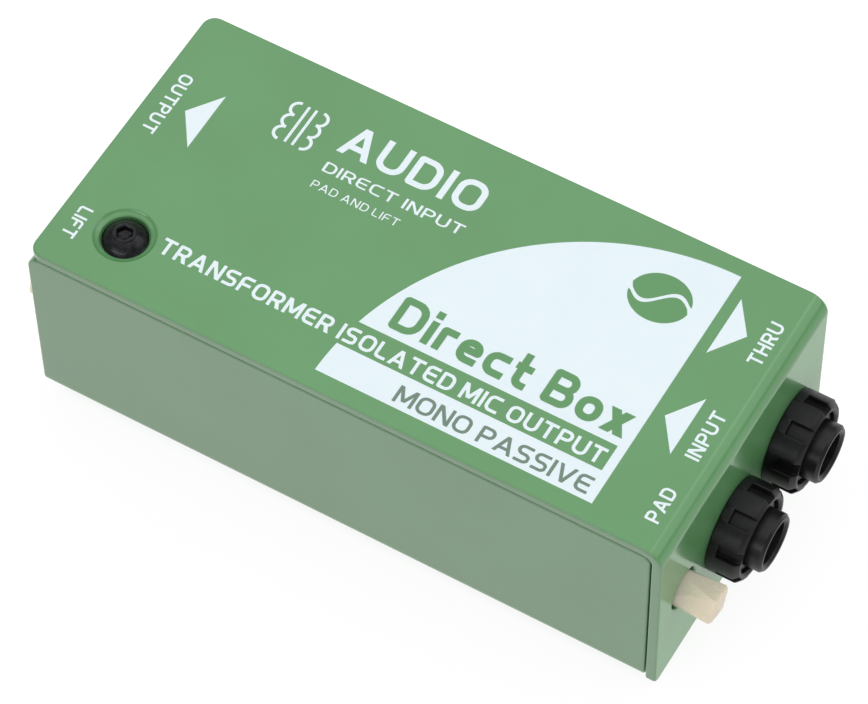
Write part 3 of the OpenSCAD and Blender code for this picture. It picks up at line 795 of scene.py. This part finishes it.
OUTPUT = mount_mm("output_shell")
CUP_R = MOUNTS["output_shell"]["dims"]["r_mm"]
CUP_DEPTH = MOUNTS["output_shell"]["dims"]["length_mm"]
CUP_OUT_R = CUP_R + 1.1
FLANGE_T = 2.4
INSERT_L = 5
PIN_R = MOUNTS["output_pin_1"]["dims"]["r_mm"]
PINS = [mount_mm(f"output_pin_{n}") for n in (1, 2, 3)]


def from_output(along, b, c):
    """Point at a distance in from the output end's face."""
    return BASE_LOW.x + along, OUTPUT.y + b, OUTPUT.z + c


def add_round_pin(mesh, profile, pin, closed=False):
    """Turns a profile about one pin's axis."""
    add_lathe(mesh, profile, lambda along, b, c: (BASE_LOW.x + along, pin.y + b, pin.z + c), 48, closed)


def build_output_housing():
    """Cup with an eased mouth, its fixing flange behind the panel, and its rear block."""
    low, high = box_mm("output_housing")
    flange_back = SHEET + FLANGE_T
    rear = high.x - BASE_LOW.x
    mesh = bmesh.new()
    mouth = rounded_path([(SHEET, CUP_OUT_R, 0), (0.0, CUP_OUT_R, 0.25), (0.0, CUP_R + 0.3, 0.12),
                          (0.3, CUP_R, 0.12), (SHEET, CUP_R, 0)])
    add_lathe(mesh, mouth, from_output, closed=True)
    inside = [(CUP_R, 0), (CUP_R, FLANGE_T)]
    add_sheet(mesh, rectangle(low.y, high.y, low.z, high.z, 1.5),
              lambda y, z, depth: (BASE_LOW.x + SHEET + depth, y, z), thickness=FLANGE_T, edge=0.2,
              holes=[((OUTPUT.y, OUTPUT.z), inside)])
    block_half, block_h = CUP_OUT_R + 0.4, 23
    carrier_r = CUP_R - 0.6
    shelf = CUP_DEPTH - flange_back
    # A little wider than the flange's hole, so that no two of their edges coincide
    pocket_r = CUP_R + 0.03
    pocket = [(pocket_r, 0), (pocket_r, shelf), (carrier_r, shelf), (carrier_r, shelf + INSERT_L),
              (0, shelf + INSERT_L)]
    add_sheet(mesh, rectangle(OUTPUT.y - block_half, OUTPUT.y + block_half, low.z, low.z + block_h, 1.0),
              lambda y, z, depth: (BASE_LOW.x + flange_back + depth, y, z),
              thickness=rear - flange_back, edge=0.2, holes=[((OUTPUT.y, OUTPUT.z), pocket)])
    make_piece("output_cup", mesh, "connector_plastic", "output_housing")


def build_output_insert():
    """Insulating insert with a raised rim and a collar round each pin."""
    mesh = bmesh.new()
    edge_r = CUP_R - 0.65
    back, floor = CUP_DEPTH + INSERT_L, CUP_DEPTH + 0.35
    face = rounded_path([(back, 0, 0), (back, edge_r, 0.2), (CUP_DEPTH, edge_r, 0.2),
                         (CUP_DEPTH, edge_r - 1.0, 0.15), (floor, edge_r - 1.3, 0.15), (floor, 0, 0)])
    add_lathe(mesh, face, from_output)
    collar_back = CUP_DEPTH + 0.4
    collar = rounded_path([(collar_back, 2.0, 0), (CUP_DEPTH, 1.85, 0.12), (CUP_DEPTH, PIN_R + 0.1, 0.08),
                           (collar_back, PIN_R + 0.05, 0)])
    for pin in PINS:
        add_round_pin(mesh, collar, pin, closed=True)
    make_piece("output_insert", mesh, "connector_plastic", "output_carrier")


def build_output_contacts():
    """Three turned pins with rounded tips."""
    low, high = box_mm("output_pins")
    tip = low.x - BASE_LOW.x
    back = high.x - BASE_LOW.x
    mesh = bmesh.new()
    shaft = rounded_path([(tip, 0, 0), (tip, 0.55, 0.2), (tip + 0.7, PIN_R, 0.6), (CUP_DEPTH, PIN_R, 0.05),
                          (CUP_DEPTH, 0.8, 0.05), (back, 0.8, 0.05), (back, 0, 0)])
    for pin in PINS:
        add_round_pin(mesh, shaft, pin)
    make_piece("output_contacts", mesh, "pin_metal", "output_pins")


# ---- Push buttons ----

BUTTON_TURN = radians(-20)
# The crown, as how far in from the tip and its size there, and how far in the flats run out
BUTTON_CROWN = ((0, 0), (0.03, 0.3), (0.12, 0.6), (0.24, 0.8), (0.34, 0.88), (0.46, 0.94), (0.6, 0.98),
                (0.8, 1))
FLATS_END = 6.2
FLAT_STEPS = 16
STEM_HALF = 1.85
STEM_SOCKET = 4


def flatted(angle, body_r, half):
    """Radius at an angle of a round section with four flats at a distance of half."""
    quarter = radians(90)
    from_flat = (angle + quarter / 2) % quarter - quarter / 2
    return min(body_r, half / cos(from_flat))


def build_button(name, node, body, outward):
    """Round cap with four flats that deepen towards its crowned end, and a stem socket."""
    low, high = box_mm(node)
    axis = middle_mm(node)
    body_r = (high.y - low.y) / 2
    tip = high.x if outward > 0 else low.x
    length = high.x - low.x
    tip_half = body_r * 0.72
    neck_share = 0.93
    crown_end = BUTTON_CROWN[-1][0]
    angles = turn_angles(144)

    def ring(inwards, size, half):
        return [(tip - outward * inwards,
                 axis.y + size * flatted(a, body_r, half) * cos(a + BUTTON_TURN),
                 axis.z + size * flatted(a, body_r, half) * sin(a + BUTTON_TURN)) for a in angles]

    rings = [ring(inwards, size, tip_half) for inwards, size in BUTTON_CROWN]
    for k in range(1, FLAT_STEPS + 1):
        share = k / FLAT_STEPS
        rings.append(ring(crown_end + (FLATS_END - crown_end) * share, 1 + (neck_share - 1) * share,
                          tip_half + (body_r - tip_half) * share))
    rings.append(ring(length, neck_share, body_r))
    for inwards in (length, length - STEM_SOCKET):
        rings.append([(tip - outward * inwards, axis.y + STEM_HALF * cos(a) * square_shape(a),
                       axis.z + STEM_HALF * sin(a) * square_shape(a)) for a in angles])
    rings.append([(tip - outward * (length - STEM_SOCKET), axis.y, axis.z)] * len(angles))
    mesh = bmesh.new()
    add_loft(mesh, rings, capped=False)
    make_piece(name, mesh, "button_plastic", node, body=body)


# ---- Return springs ----

SPRING_WIRE_R = 0.25


def build_spring(name, node):
    """Coil spring of six turns that fills its node's box."""
    low, high = box_mm(node)
    axis = middle_mm(node)
    coil_r = (high.y - low.y) / 2 - SPRING_WIRE_R
    start, end = low.x + SPRING_WIRE_R, high.x - SPRING_WIRE_R
    turns, steps = 6, 24
    rings = []
    for k in range(turns * steps + 1):
        share = k / (turns * steps)
        a = 2 * pi * turns * share
        middle = Vector((start + (end - start) * share, axis.y + coil_r * cos(a),
                         axis.z + coil_r * sin(a)))
        out = Vector((0, cos(a), sin(a)))
        rings.append([middle + SPRING_WIRE_R * (out * cos(b) + Vector((sin(b), 0, 0)))
                      for b in turn_angles(8)])
    mesh = bmesh.new()
    add_loft(mesh, rings)
    piece = make_piece(name, mesh, "spring_steel", node)
    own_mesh(piece)


# ---- Print on the top ----
# Places on the top are (u, v): u from the output end, v from the back edge, both in millimetres.

def on_top(u, v):
    """Place on the cover of a printed point."""
    return BASE_LOW.x + u, COVER_HIGH.y - v


def add_print(mesh, shapes, level):
    """Adds flat print: the union of shapes, each an outline in (u, v)."""
    places, faces = [], []
    for shape in shapes:
        outline = [Vector(on_top(u, v)) for u, v in shape]
        if sum(a.x * b.y - a.y * b.x for a, b in zip(outline, outline[1:] + outline[:1])) < 0:
            outline.reverse()
        faces.append(list(range(len(places), len(places) + len(outline))))
        places += outline
    flat, _, triangles, _, _, covered_by = geometry.delaunay_2d_cdt(places, [], faces, 0, 1e-4)
    triangles = [triangle for triangle, shapes_over in zip(triangles, covered_by) if shapes_over]
    part = bmesh.new()
    under = [part.verts.new((*place, PAINT_TOP - INK_UNDER)) for place in flat]
    over = [part.verts.new((*place, PAINT_TOP + level)) for place in flat]
    open_edges = set()
    for triangle in triangles:
        part.faces.new([over[i] for i in triangle])
        part.faces.new([under[i] for i in reversed(triangle)])
        for i, j in zip(triangle, triangle[1:] + triangle[:1]):
            if (j, i) in open_edges:
                open_edges.remove((j, i))
            else:
                open_edges.add((i, j))
    for i, j in sorted(open_edges):
        part.faces.new((under[i], under[j], over[j], over[i]))
    bmesh.ops.delete(part, geom=[v for v in part.verts if not v.link_faces], context="VERTS")
    add_part(mesh, part)


def ribbon(points, width, closed=False):
    """Quads along a line of even width, mitred where it turns."""
    count = len(points)
    sides = []
    for i in range(count):
        here = Vector(points[i])
        before = Vector(points[i - 1]) if closed or i else here
        after = Vector(points[(i + 1) % count]) if closed or i < count - 1 else here
        steps = [step.normalized() for step in (here - before, after - here) if step.length > 1e-9]
        across = sum((Vector((-step.y, step.x)) for step in steps), Vector((0, 0))).normalized()
        reach = width / 2 / max(across.dot(Vector((-steps[0].y, steps[0].x))), 0.4)
        sides.append((here + across * reach, here - across * reach))
    pairs = list(zip(sides, sides[1:]))
    if closed:
        pairs.append((sides[-1], sides[0]))
    return [around_middle([*a, *b]) for a, b in pairs]


def around_middle(points):
    """Points in order round their middle."""
    middle = sum(points, Vector((0, 0))) / len(points)
    return sorted(points, key=lambda point: atan2(point.y - middle.y, point.x - middle.x))


# A letter is its width and its strokes, on a cap height of 1. A stroke is "-" for a line of (x, y, radius)
# corners, "o" for a closed one, or "/" for a slant with level ends.
CAP_W = 0.7
LOW_W = 0.52
X_H = 0.62
SPACE_W = 0.38
UPPER_BOWL = ("-", (0, 0, 0), (0, 1, 0.03), (0.68, 1, 0.27), (0.68, 0.42, 0.27), (0, 0.42, 0))
CORNER_STEPS = 5
# Level ends stand out by this share of half a stroke
LEVEL_END_SHARE = 0.8
LETTERS = {
    "A": (0.86, ("/", (0, 0), (0.43, 1)), ("/", (0.86, 0), (0.43, 1)), ("-", (0.17, 0.26), (0.69, 0.26))),
    "B": (CAP_W, ("o", (0, 0, 0.03), (CAP_W, 0, 0.24), (CAP_W, 0.5, 0.24), (0, 0.5, 0.03)),
          ("o", (0, 0.5, 0.03), (0.65, 0.5, 0.24), (0.65, 1, 0.24), (0, 1, 0.03))),
    "C": (CAP_W, ("-", (CAP_W, 1, 0), (0, 1, 0.3), (0, 0, 0.3), (CAP_W, 0, 0))),
    "D": (0.74, ("o", (0, 0, 0.03), (0.74, 0, 0.36), (0.74, 1, 0.36), (0, 1, 0.03))),
    "E": (0.66, ("-", (0.66, 1, 0), (0, 1, 0.26), (0, 0, 0.26), (0.66, 0, 0)), ("-", (0, 0.5), (0.6, 0.5))),
    "F": (0.62, ("-", (0.62, 1, 0), (0, 1, 0.22), (0, 0, 0)), ("-", (0, 0.48), (0.56, 0.48))),
    "H": (CAP_W, ("-", (0, 0), (0, 1)), ("-", (CAP_W, 0), (CAP_W, 1)), ("-", (0, 0.5), (CAP_W, 0.5))),
    "I": (0, ("-", (0, 0), (0, 1))),
    "L": (0.58, ("-", (0, 1, 0), (0, 0, 0.18), (0.58, 0, 0))),
    "M": (0.94, ("-", (0, 0), (0, 1)), ("-", (0.94, 0), (0.94, 1)), ("/", (0, 1), (0.47, 0.2)),
          ("/", (0.94, 1), (0.47, 0.2))),
    "N": (0.74, ("-", (0, 0), (0, 1)), ("-", (0.74, 0), (0.74, 1)), ("/", (0, 1), (0.74, 0))),
    "O": (0.78, ("o", (0, 0, 0.33), (0.78, 0, 0.33), (0.78, 1, 0.33), (0, 1, 0.33))),
    "P": (0.68, UPPER_BOWL),
    "R": (0.7, UPPER_BOWL, ("/", (0.36, 0.42), (0.7, 0))),
    "S": (0.68, ("-", (0.66, 1, 0), (0, 1, 0.25), (0, 0.5, 0.25), (0.68, 0.5, 0.25), (0.68, 0, 0.25),
                 (0.02, 0, 0))),
    "T": (0.74, ("-", (0, 1), (0.74, 1)), ("-", (0.37, 0), (0.37, 1))),
    "U": (0.74, ("-", (0, 1, 0), (0, 0, 0.32), (0.74, 0, 0.32), (0.74, 1, 0))),
    "V": (0.84, ("/", (0, 1), (0.42, 0)), ("/", (0.84, 1), (0.42, 0))),
    "c": (LOW_W, ("-", (LOW_W, X_H, 0), (0, X_H, 0.25), (0, 0, 0.25), (LOW_W, 0, 0))),
    "e": (LOW_W, ("-", (0.5, 0, 0), (0, 0, 0.24), (0, X_H, 0.24), (LOW_W, X_H, 0.24), (LOW_W, 0.34, 0.02),
                  (0, 0.34, 0))),
    "i": (0, ("-", (0, 0), (0, X_H)), ("-", (0, 0.98), (0, 1))),
    "o": (0.56, ("o", (0, 0, 0.26), (0.56, 0, 0.26), (0.56, X_H, 0.26), (0, X_H, 0.26))),
    "r": (0.34, ("-", (0, 0, 0), (0, X_H, 0.03), (0.34, X_H, 0))),
    "t": (0.38, ("-", (0.1, 1, 0), (0.1, 0, 0.2), (0.38, 0, 0)), ("-", (0, X_H), (0.36, X_H))),
    "x": (0.56, ("/", (0, X_H), (0.56, 0)), ("/", (0.56, X_H), (0, 0))),
}


def letter_shapes(letter, weight):
    """Outlines of one letter, from its left edge and its baseline, and its width."""
    wide, *strokes = LETTERS[letter]
    half = weight / 2
    shapes = []
    for kind, *corners in strokes:
        if kind == "/":
            (x0, y0), (x1, y1) = corners
            reach = half * hypot(x1 - x0, y1 - y0) / abs(y1 - y0)
            over = copysign(half, y1 - y0)
            x0, x1 = (min(max(x, reach - half), wide + half - reach) for x in (x0, x1))
            shapes.append([(x0 - reach, y0 - over), (x0 + reach, y0 - over), (x1 + reach, y1 + over),
                           (x1 - reach, y1 + over)])
            continue
        if kind == "-":
            corners = square_ends(corners, half)
        path = rounded_path([(*corner[:2], corner[2] if len(corner) > 2 else 0) for corner in corners],
                            kind == "o", steps=CORNER_STEPS)
        shapes += ribbon(path, weight, kind == "o")
    return [[(half + x, half + y * (1 - weight)) for x, y in shape] for shape in shapes], wide + weight


def square_ends(corners, reach):
    """Lengthens both ends of a line by half its weight."""
    ends = []
    for end, inner in ((corners[0], corners[1]), (corners[-1], corners[-2])):
        step = (Vector(end[:2]) - Vector(inner[:2])).normalized() * reach
        if abs(step.x) > abs(step.y):
            step = step * LEVEL_END_SHARE
        ends.append((end[0] + step.x, end[1] + step.y, 0))
    return [ends[0], *corners[1:-1], ends[1]]


def add_lettering(mesh, words, low_u, high_u, low_v, high_v, turn, level, weight, gap):
    """Adds lettering from its baseline to its cap height. turn is its direction: 0, -90 or 90."""
    pen = 0.0
    shapes = []
    for letter in words:
        if letter == " ":
            pen += SPACE_W
            continue
        made, wide = letter_shapes(letter, weight)
        shapes += [[(pen + x, y) for x, y in shape] for shape in made]
        pen += wide + gap
    length = pen - gap
    size_u, size_v = high_u - low_u, high_v - low_v
    place = {0: lambda s, t: (low_u + s * size_u, high_v - t * size_v),
             -90: lambda s, t: (low_u + t * size_u, low_v + s * size_v),
             90: lambda s, t: (high_u - t * size_u, high_v - s * size_v)}[turn]
    add_print(mesh, [[place(x / length, y) for x, y in shape] for shape in shapes], level)


FIELD_CENTRE = (87.2, 44.9)
FIELD_R = 42.2
FIELD_RIGHT = 87.8
FIELD_TOP = 2.7
FIELD_BOTTOM = 44.7
BAND_TOP = 35.1
BAND_BOTTOM = 39.5
BAND_RIGHT = 86.4


def field_arc(start_v, end_v, steps):
    """Points along the field's curved edge between two heights."""
    start, end = (asin(min((FIELD_CENTRE[1] - v) / FIELD_R, 1.0)) for v in (start_v, end_v))
    return [(FIELD_CENTRE[0] - FIELD_R * cos(a), FIELD_CENTRE[1] - FIELD_R * sin(a))
            for a in (start + (end - start) * k / steps for k in range(steps + 1))]


def white_field():
    """Outline of a quarter disc with a bare band across it."""
    outline = field_arc(BAND_TOP, FIELD_TOP, 48)
    outline += [(FIELD_RIGHT, FIELD_TOP), (FIELD_RIGHT, FIELD_BOTTOM)]
    outline += field_arc(FIELD_BOTTOM, BAND_BOTTOM, 6)
    return outline + [(BAND_RIGHT, BAND_BOTTOM), (BAND_RIGHT, BAND_TOP)]


def transformer_sign(centre, loop_r=1.15, coil_gap=1.75, core_gap=0.6):
    """Shapes of the circuit sign for a transformer: two coils of three loops beside a core's two bars."""
    shapes = []
    half = 3 * loop_r
    coil_line, core_line = 0.5, 0.45
    half_turn = [radians(180 * k / 12 - 90) for k in range(13)]
    for side in (-1, 1):
        for loop in (-1, 0, 1):
            shapes += ribbon([(centre[0] + side * (coil_gap + loop_r * cos(a)),
                               centre[1] + loop * 2 * loop_r + loop_r * sin(a)) for a in half_turn],
                             coil_line)
        u = centre[0] + side * core_gap
        shapes += ribbon([(u, centre[1] - half), (u, centre[1] + half)], core_line)
    return shapes


def wave_sign(centre, half_u, half_v):
    """Two halves of a disc, with a sine wave left bare between them."""
    steps, gap, swing = 40, 0.35, 1.5
    halves = []
    for side in (-1, 1):
        arc = [(centre[0] + half_u * cos(pi * k / steps),
                centre[1] + side * half_v * sin(pi * k / steps)) for k in range(2, steps - 1)]
        wave = [(centre[0] - half_u + 2 * half_u * k / steps,
                 centre[1] + swing * sin(2 * pi * k / steps) + side * gap)
                for k in range(2, steps - 1)]
        halves.append(arc + wave)
    return halves


ARROWS = [[(6.7, 16.5), (10.4, 11.5), (10.4, 21.8)], [(93.1, 11.0), (89.5, 5.9), (89.5, 16.1)],
          [(89.5, 27.7), (93.1, 22.6), (93.1, 32.8)]]
# White words, their place (low u, high u, low v, high v), direction, weight and gap
WHITE_WORDS = (
    ("OUTPUT", 2.8, 5.0, 11.0, 22.3, -90, 0.23, 0.15),
    ("LIFT", 2.8, 5.0, 37.4, 43.0, -90, 0.23, 0.15),
    ("THRU", 94.7, 97.0, 7.0, 14.6, 90, 0.23, 0.15),
    ("INPUT", 94.7, 97.0, 23.6, 32.0, 90, 0.23, 0.15),
    ("PAD", 94.7, 97.0, 37.5, 43.2, 90, 0.23, 0.15),
    ("TRANSFORMER ISOLATED MIC OUTPUT", 16.0, 85.8, 36.1, 39.0, 0, 0.23, 0.15),
    ("AUDIO", 28.6, 51.0, 6.4, 12.0, 0, 0.22, 0.17),
    ("DIRECT INPUT", 28.6, 51.0, 14.0, 15.9, 0, 0.19, 0.16),
    ("PAD AND LIFT", 28.6, 42.6, 17.6, 19.0, 0, 0.17, 0.18),
)
SIGN_PLACE = (22.2, 10.7)
WAVE_PLACE = (79.8, 11.3)


def build_print():
    """White print, and the green and grey print over its field."""
    white = bmesh.new()
    add_print(white, [white_field(), *ARROWS], WHITE_INK)
    for words, *place, turn, weight, gap in WHITE_WORDS:
        add_lettering(white, words, *place, turn, WHITE_INK, weight, gap)
    add_print(white, transformer_sign(SIGN_PLACE), WHITE_INK)
    make_piece("white_print", white, "cover_paint", material=WHITE_PRINT)

    green = bmesh.new()
    add_lettering(green, "Direct Box", 49.8, 86.3, 27.9, 34.0, 0, GREEN_INK, 0.24, 0.15)
    add_print(green, wave_sign(WAVE_PLACE, 4.6, 4.0), GREEN_INK)
    make_piece("green_print", green, "cover_paint", material=GREEN_PRINT)

    grey = bmesh.new()
    add_lettering(grey, "MONO PASSIVE", 56.5, 86.4, 41.0, 43.9, 0, GREEN_INK, 0.18, 0.15)
    make_piece("grey_print", grey, "cover_paint", material=GREY_PRINT)


# ---- Studio ----

CAMERA_PLACE = (0.18211, -0.29890, 0.54007)
CAMERA_RIGHT = (0.86369, 0.50391, -0.01074)
CAMERA_UP = (-0.41403, 0.72143, 0.55506)
CAMERA_BACK = (0.28745, -0.47496, 0.83173)
LENS_MM = 186.18
SENSOR_MM = 36.0
FLOOR_REACH = 40.0
FLOOR_GAP = 0.02 * MM
FLOOR_WHITE = 0.18
FLOOR_GLOW = 0.62
ROOM_LIGHT = 0.28
# Each softbox: name, place, the point it faces, size in metres, and radiance
SOFTBOXES = (
    ("overhead", (-0.45, 0.55, 1.3), (-0.45, 0.55, 0), (2.6, 2.6), 0.78),
    ("front_strip", (0.0, -1.3, 0.62), (0, 0, 0), (2.0, 0.34), 2.8),
    ("jack_side", (1.1, 0.76, 0.95), (0, 0, 0), (1.2, 1.2), 0.9),
)
TONE_CURVE = ((0.0, 0.0), (0.2, 0.2), (0.4, 0.41), (0.6, 0.74), (0.74, 1.0), (1.0, 1.0))


def build_floor():
    """Plain pale floor, a hair under the pad."""
    mesh = bmesh.new()
    bmesh.ops.create_grid(mesh, x_segments=8, y_segments=8, size=FLOOR_REACH)
    data = bpy.data.meshes.new("studio_floor")
    mesh.to_mesh(data)
    mesh.free()
    white = (FLOOR_WHITE, FLOOR_WHITE, FLOOR_WHITE, 1)
    finish = Finish("studio_floor", {
        "Roughness": 0.9, "Specular IOR Level": 0.0, "Base Color": white,
        "Emission Color": (1, 1, 1, 1), "Emission Strength": FLOOR_GLOW})
    data.materials.append(finish.material)
    floor = new_object("studio_floor", data)
    floor.location.z = -FLOOR_GAP


def add_softbox(name, place, target, size, radiance):
    """Area light of an even radiance, as seen from the object."""
    light = bpy.data.lights.new(name, "AREA")
    light.shape = "RECTANGLE"
    light.size, light.size_y = size
    light.energy = radiance * pi * size[0] * size[1]
    holder = new_object(name, light)
    holder.location = place
    holder.rotation_euler = (Vector(target) - Vector(place)).to_track_quat("-Z", "Y").to_euler()


def build_studio():
    """Floor, even room light, three softboxes, and a tone curve that lifts the floor towards white."""
    build_floor()
    world = bpy.data.worlds.new("studio")
    world.use_nodes = True
    background = world.node_tree.nodes["Background"]
    background.inputs["Color"].default_value = (1, 1, 1, 1)
    background.inputs["Strength"].default_value = ROOM_LIGHT
    bpy.context.scene.world = world
    for softbox in SOFTBOXES:
        add_softbox(*softbox)
    view = bpy.context.scene.view_settings
    view.view_transform = "Standard"
    view.use_curve_mapping = True
    tones = view.curve_mapping.curves[3].points
    while len(tones) < len(TONE_CURVE):
        tones.new(0.5, 0.5)
    for tone, place in zip(tones, TONE_CURVE):
        tone.location = place
    view.curve_mapping.update()


def build_camera():
    """Camera at the corner that shows the top, the long front side and the jack end."""
    camera = bpy.data.cameras.new("camera")
    camera.lens = LENS_MM
    camera.sensor_width = SENSOR_MM
    camera.clip_start = 0.01
    camera.clip_end = 100
    holder = new_object("camera", camera)
    axes = Matrix((CAMERA_RIGHT, CAMERA_UP, CAMERA_BACK)).transposed()
    holder.matrix_world = Matrix.Translation(CAMERA_PLACE) @ axes.to_4x4()
    bpy.context.scene.camera = holder


def finish_cad_nodes():
    """Gives every CAD node the material of its slot."""
    for subpart in RECORD["subparts"]:
        data = frame["nodes"][subpart["node"]].data
        data.materials.clear()
        data.materials.append(MATERIALS[subpart["material_slot"]])


build_camera()
build_studio()
finish_cad_nodes()
build_cover()
build_base()
build_cover_screw()
build_foot_pad()
build_nut("input_nut", "input_jack_nut", INPUT_JACK)
build_nut("thru_nut", "thru_jack_nut", THRU_JACK)
build_jack("input_jack", "input_jack_body", INPUT_JACK)
build_jack("thru_jack", "thru_jack_body", THRU_JACK)
build_output_housing()
build_output_insert()
build_output_contacts()
build_button("pad_cap", "pad_button", "pad_push", 1)
build_button("lift_cap", "lift_button", "lift_push", -1)
build_spring("pad_coil", "pad_spring")
build_spring("lift_coil", "lift_spring")
build_print()
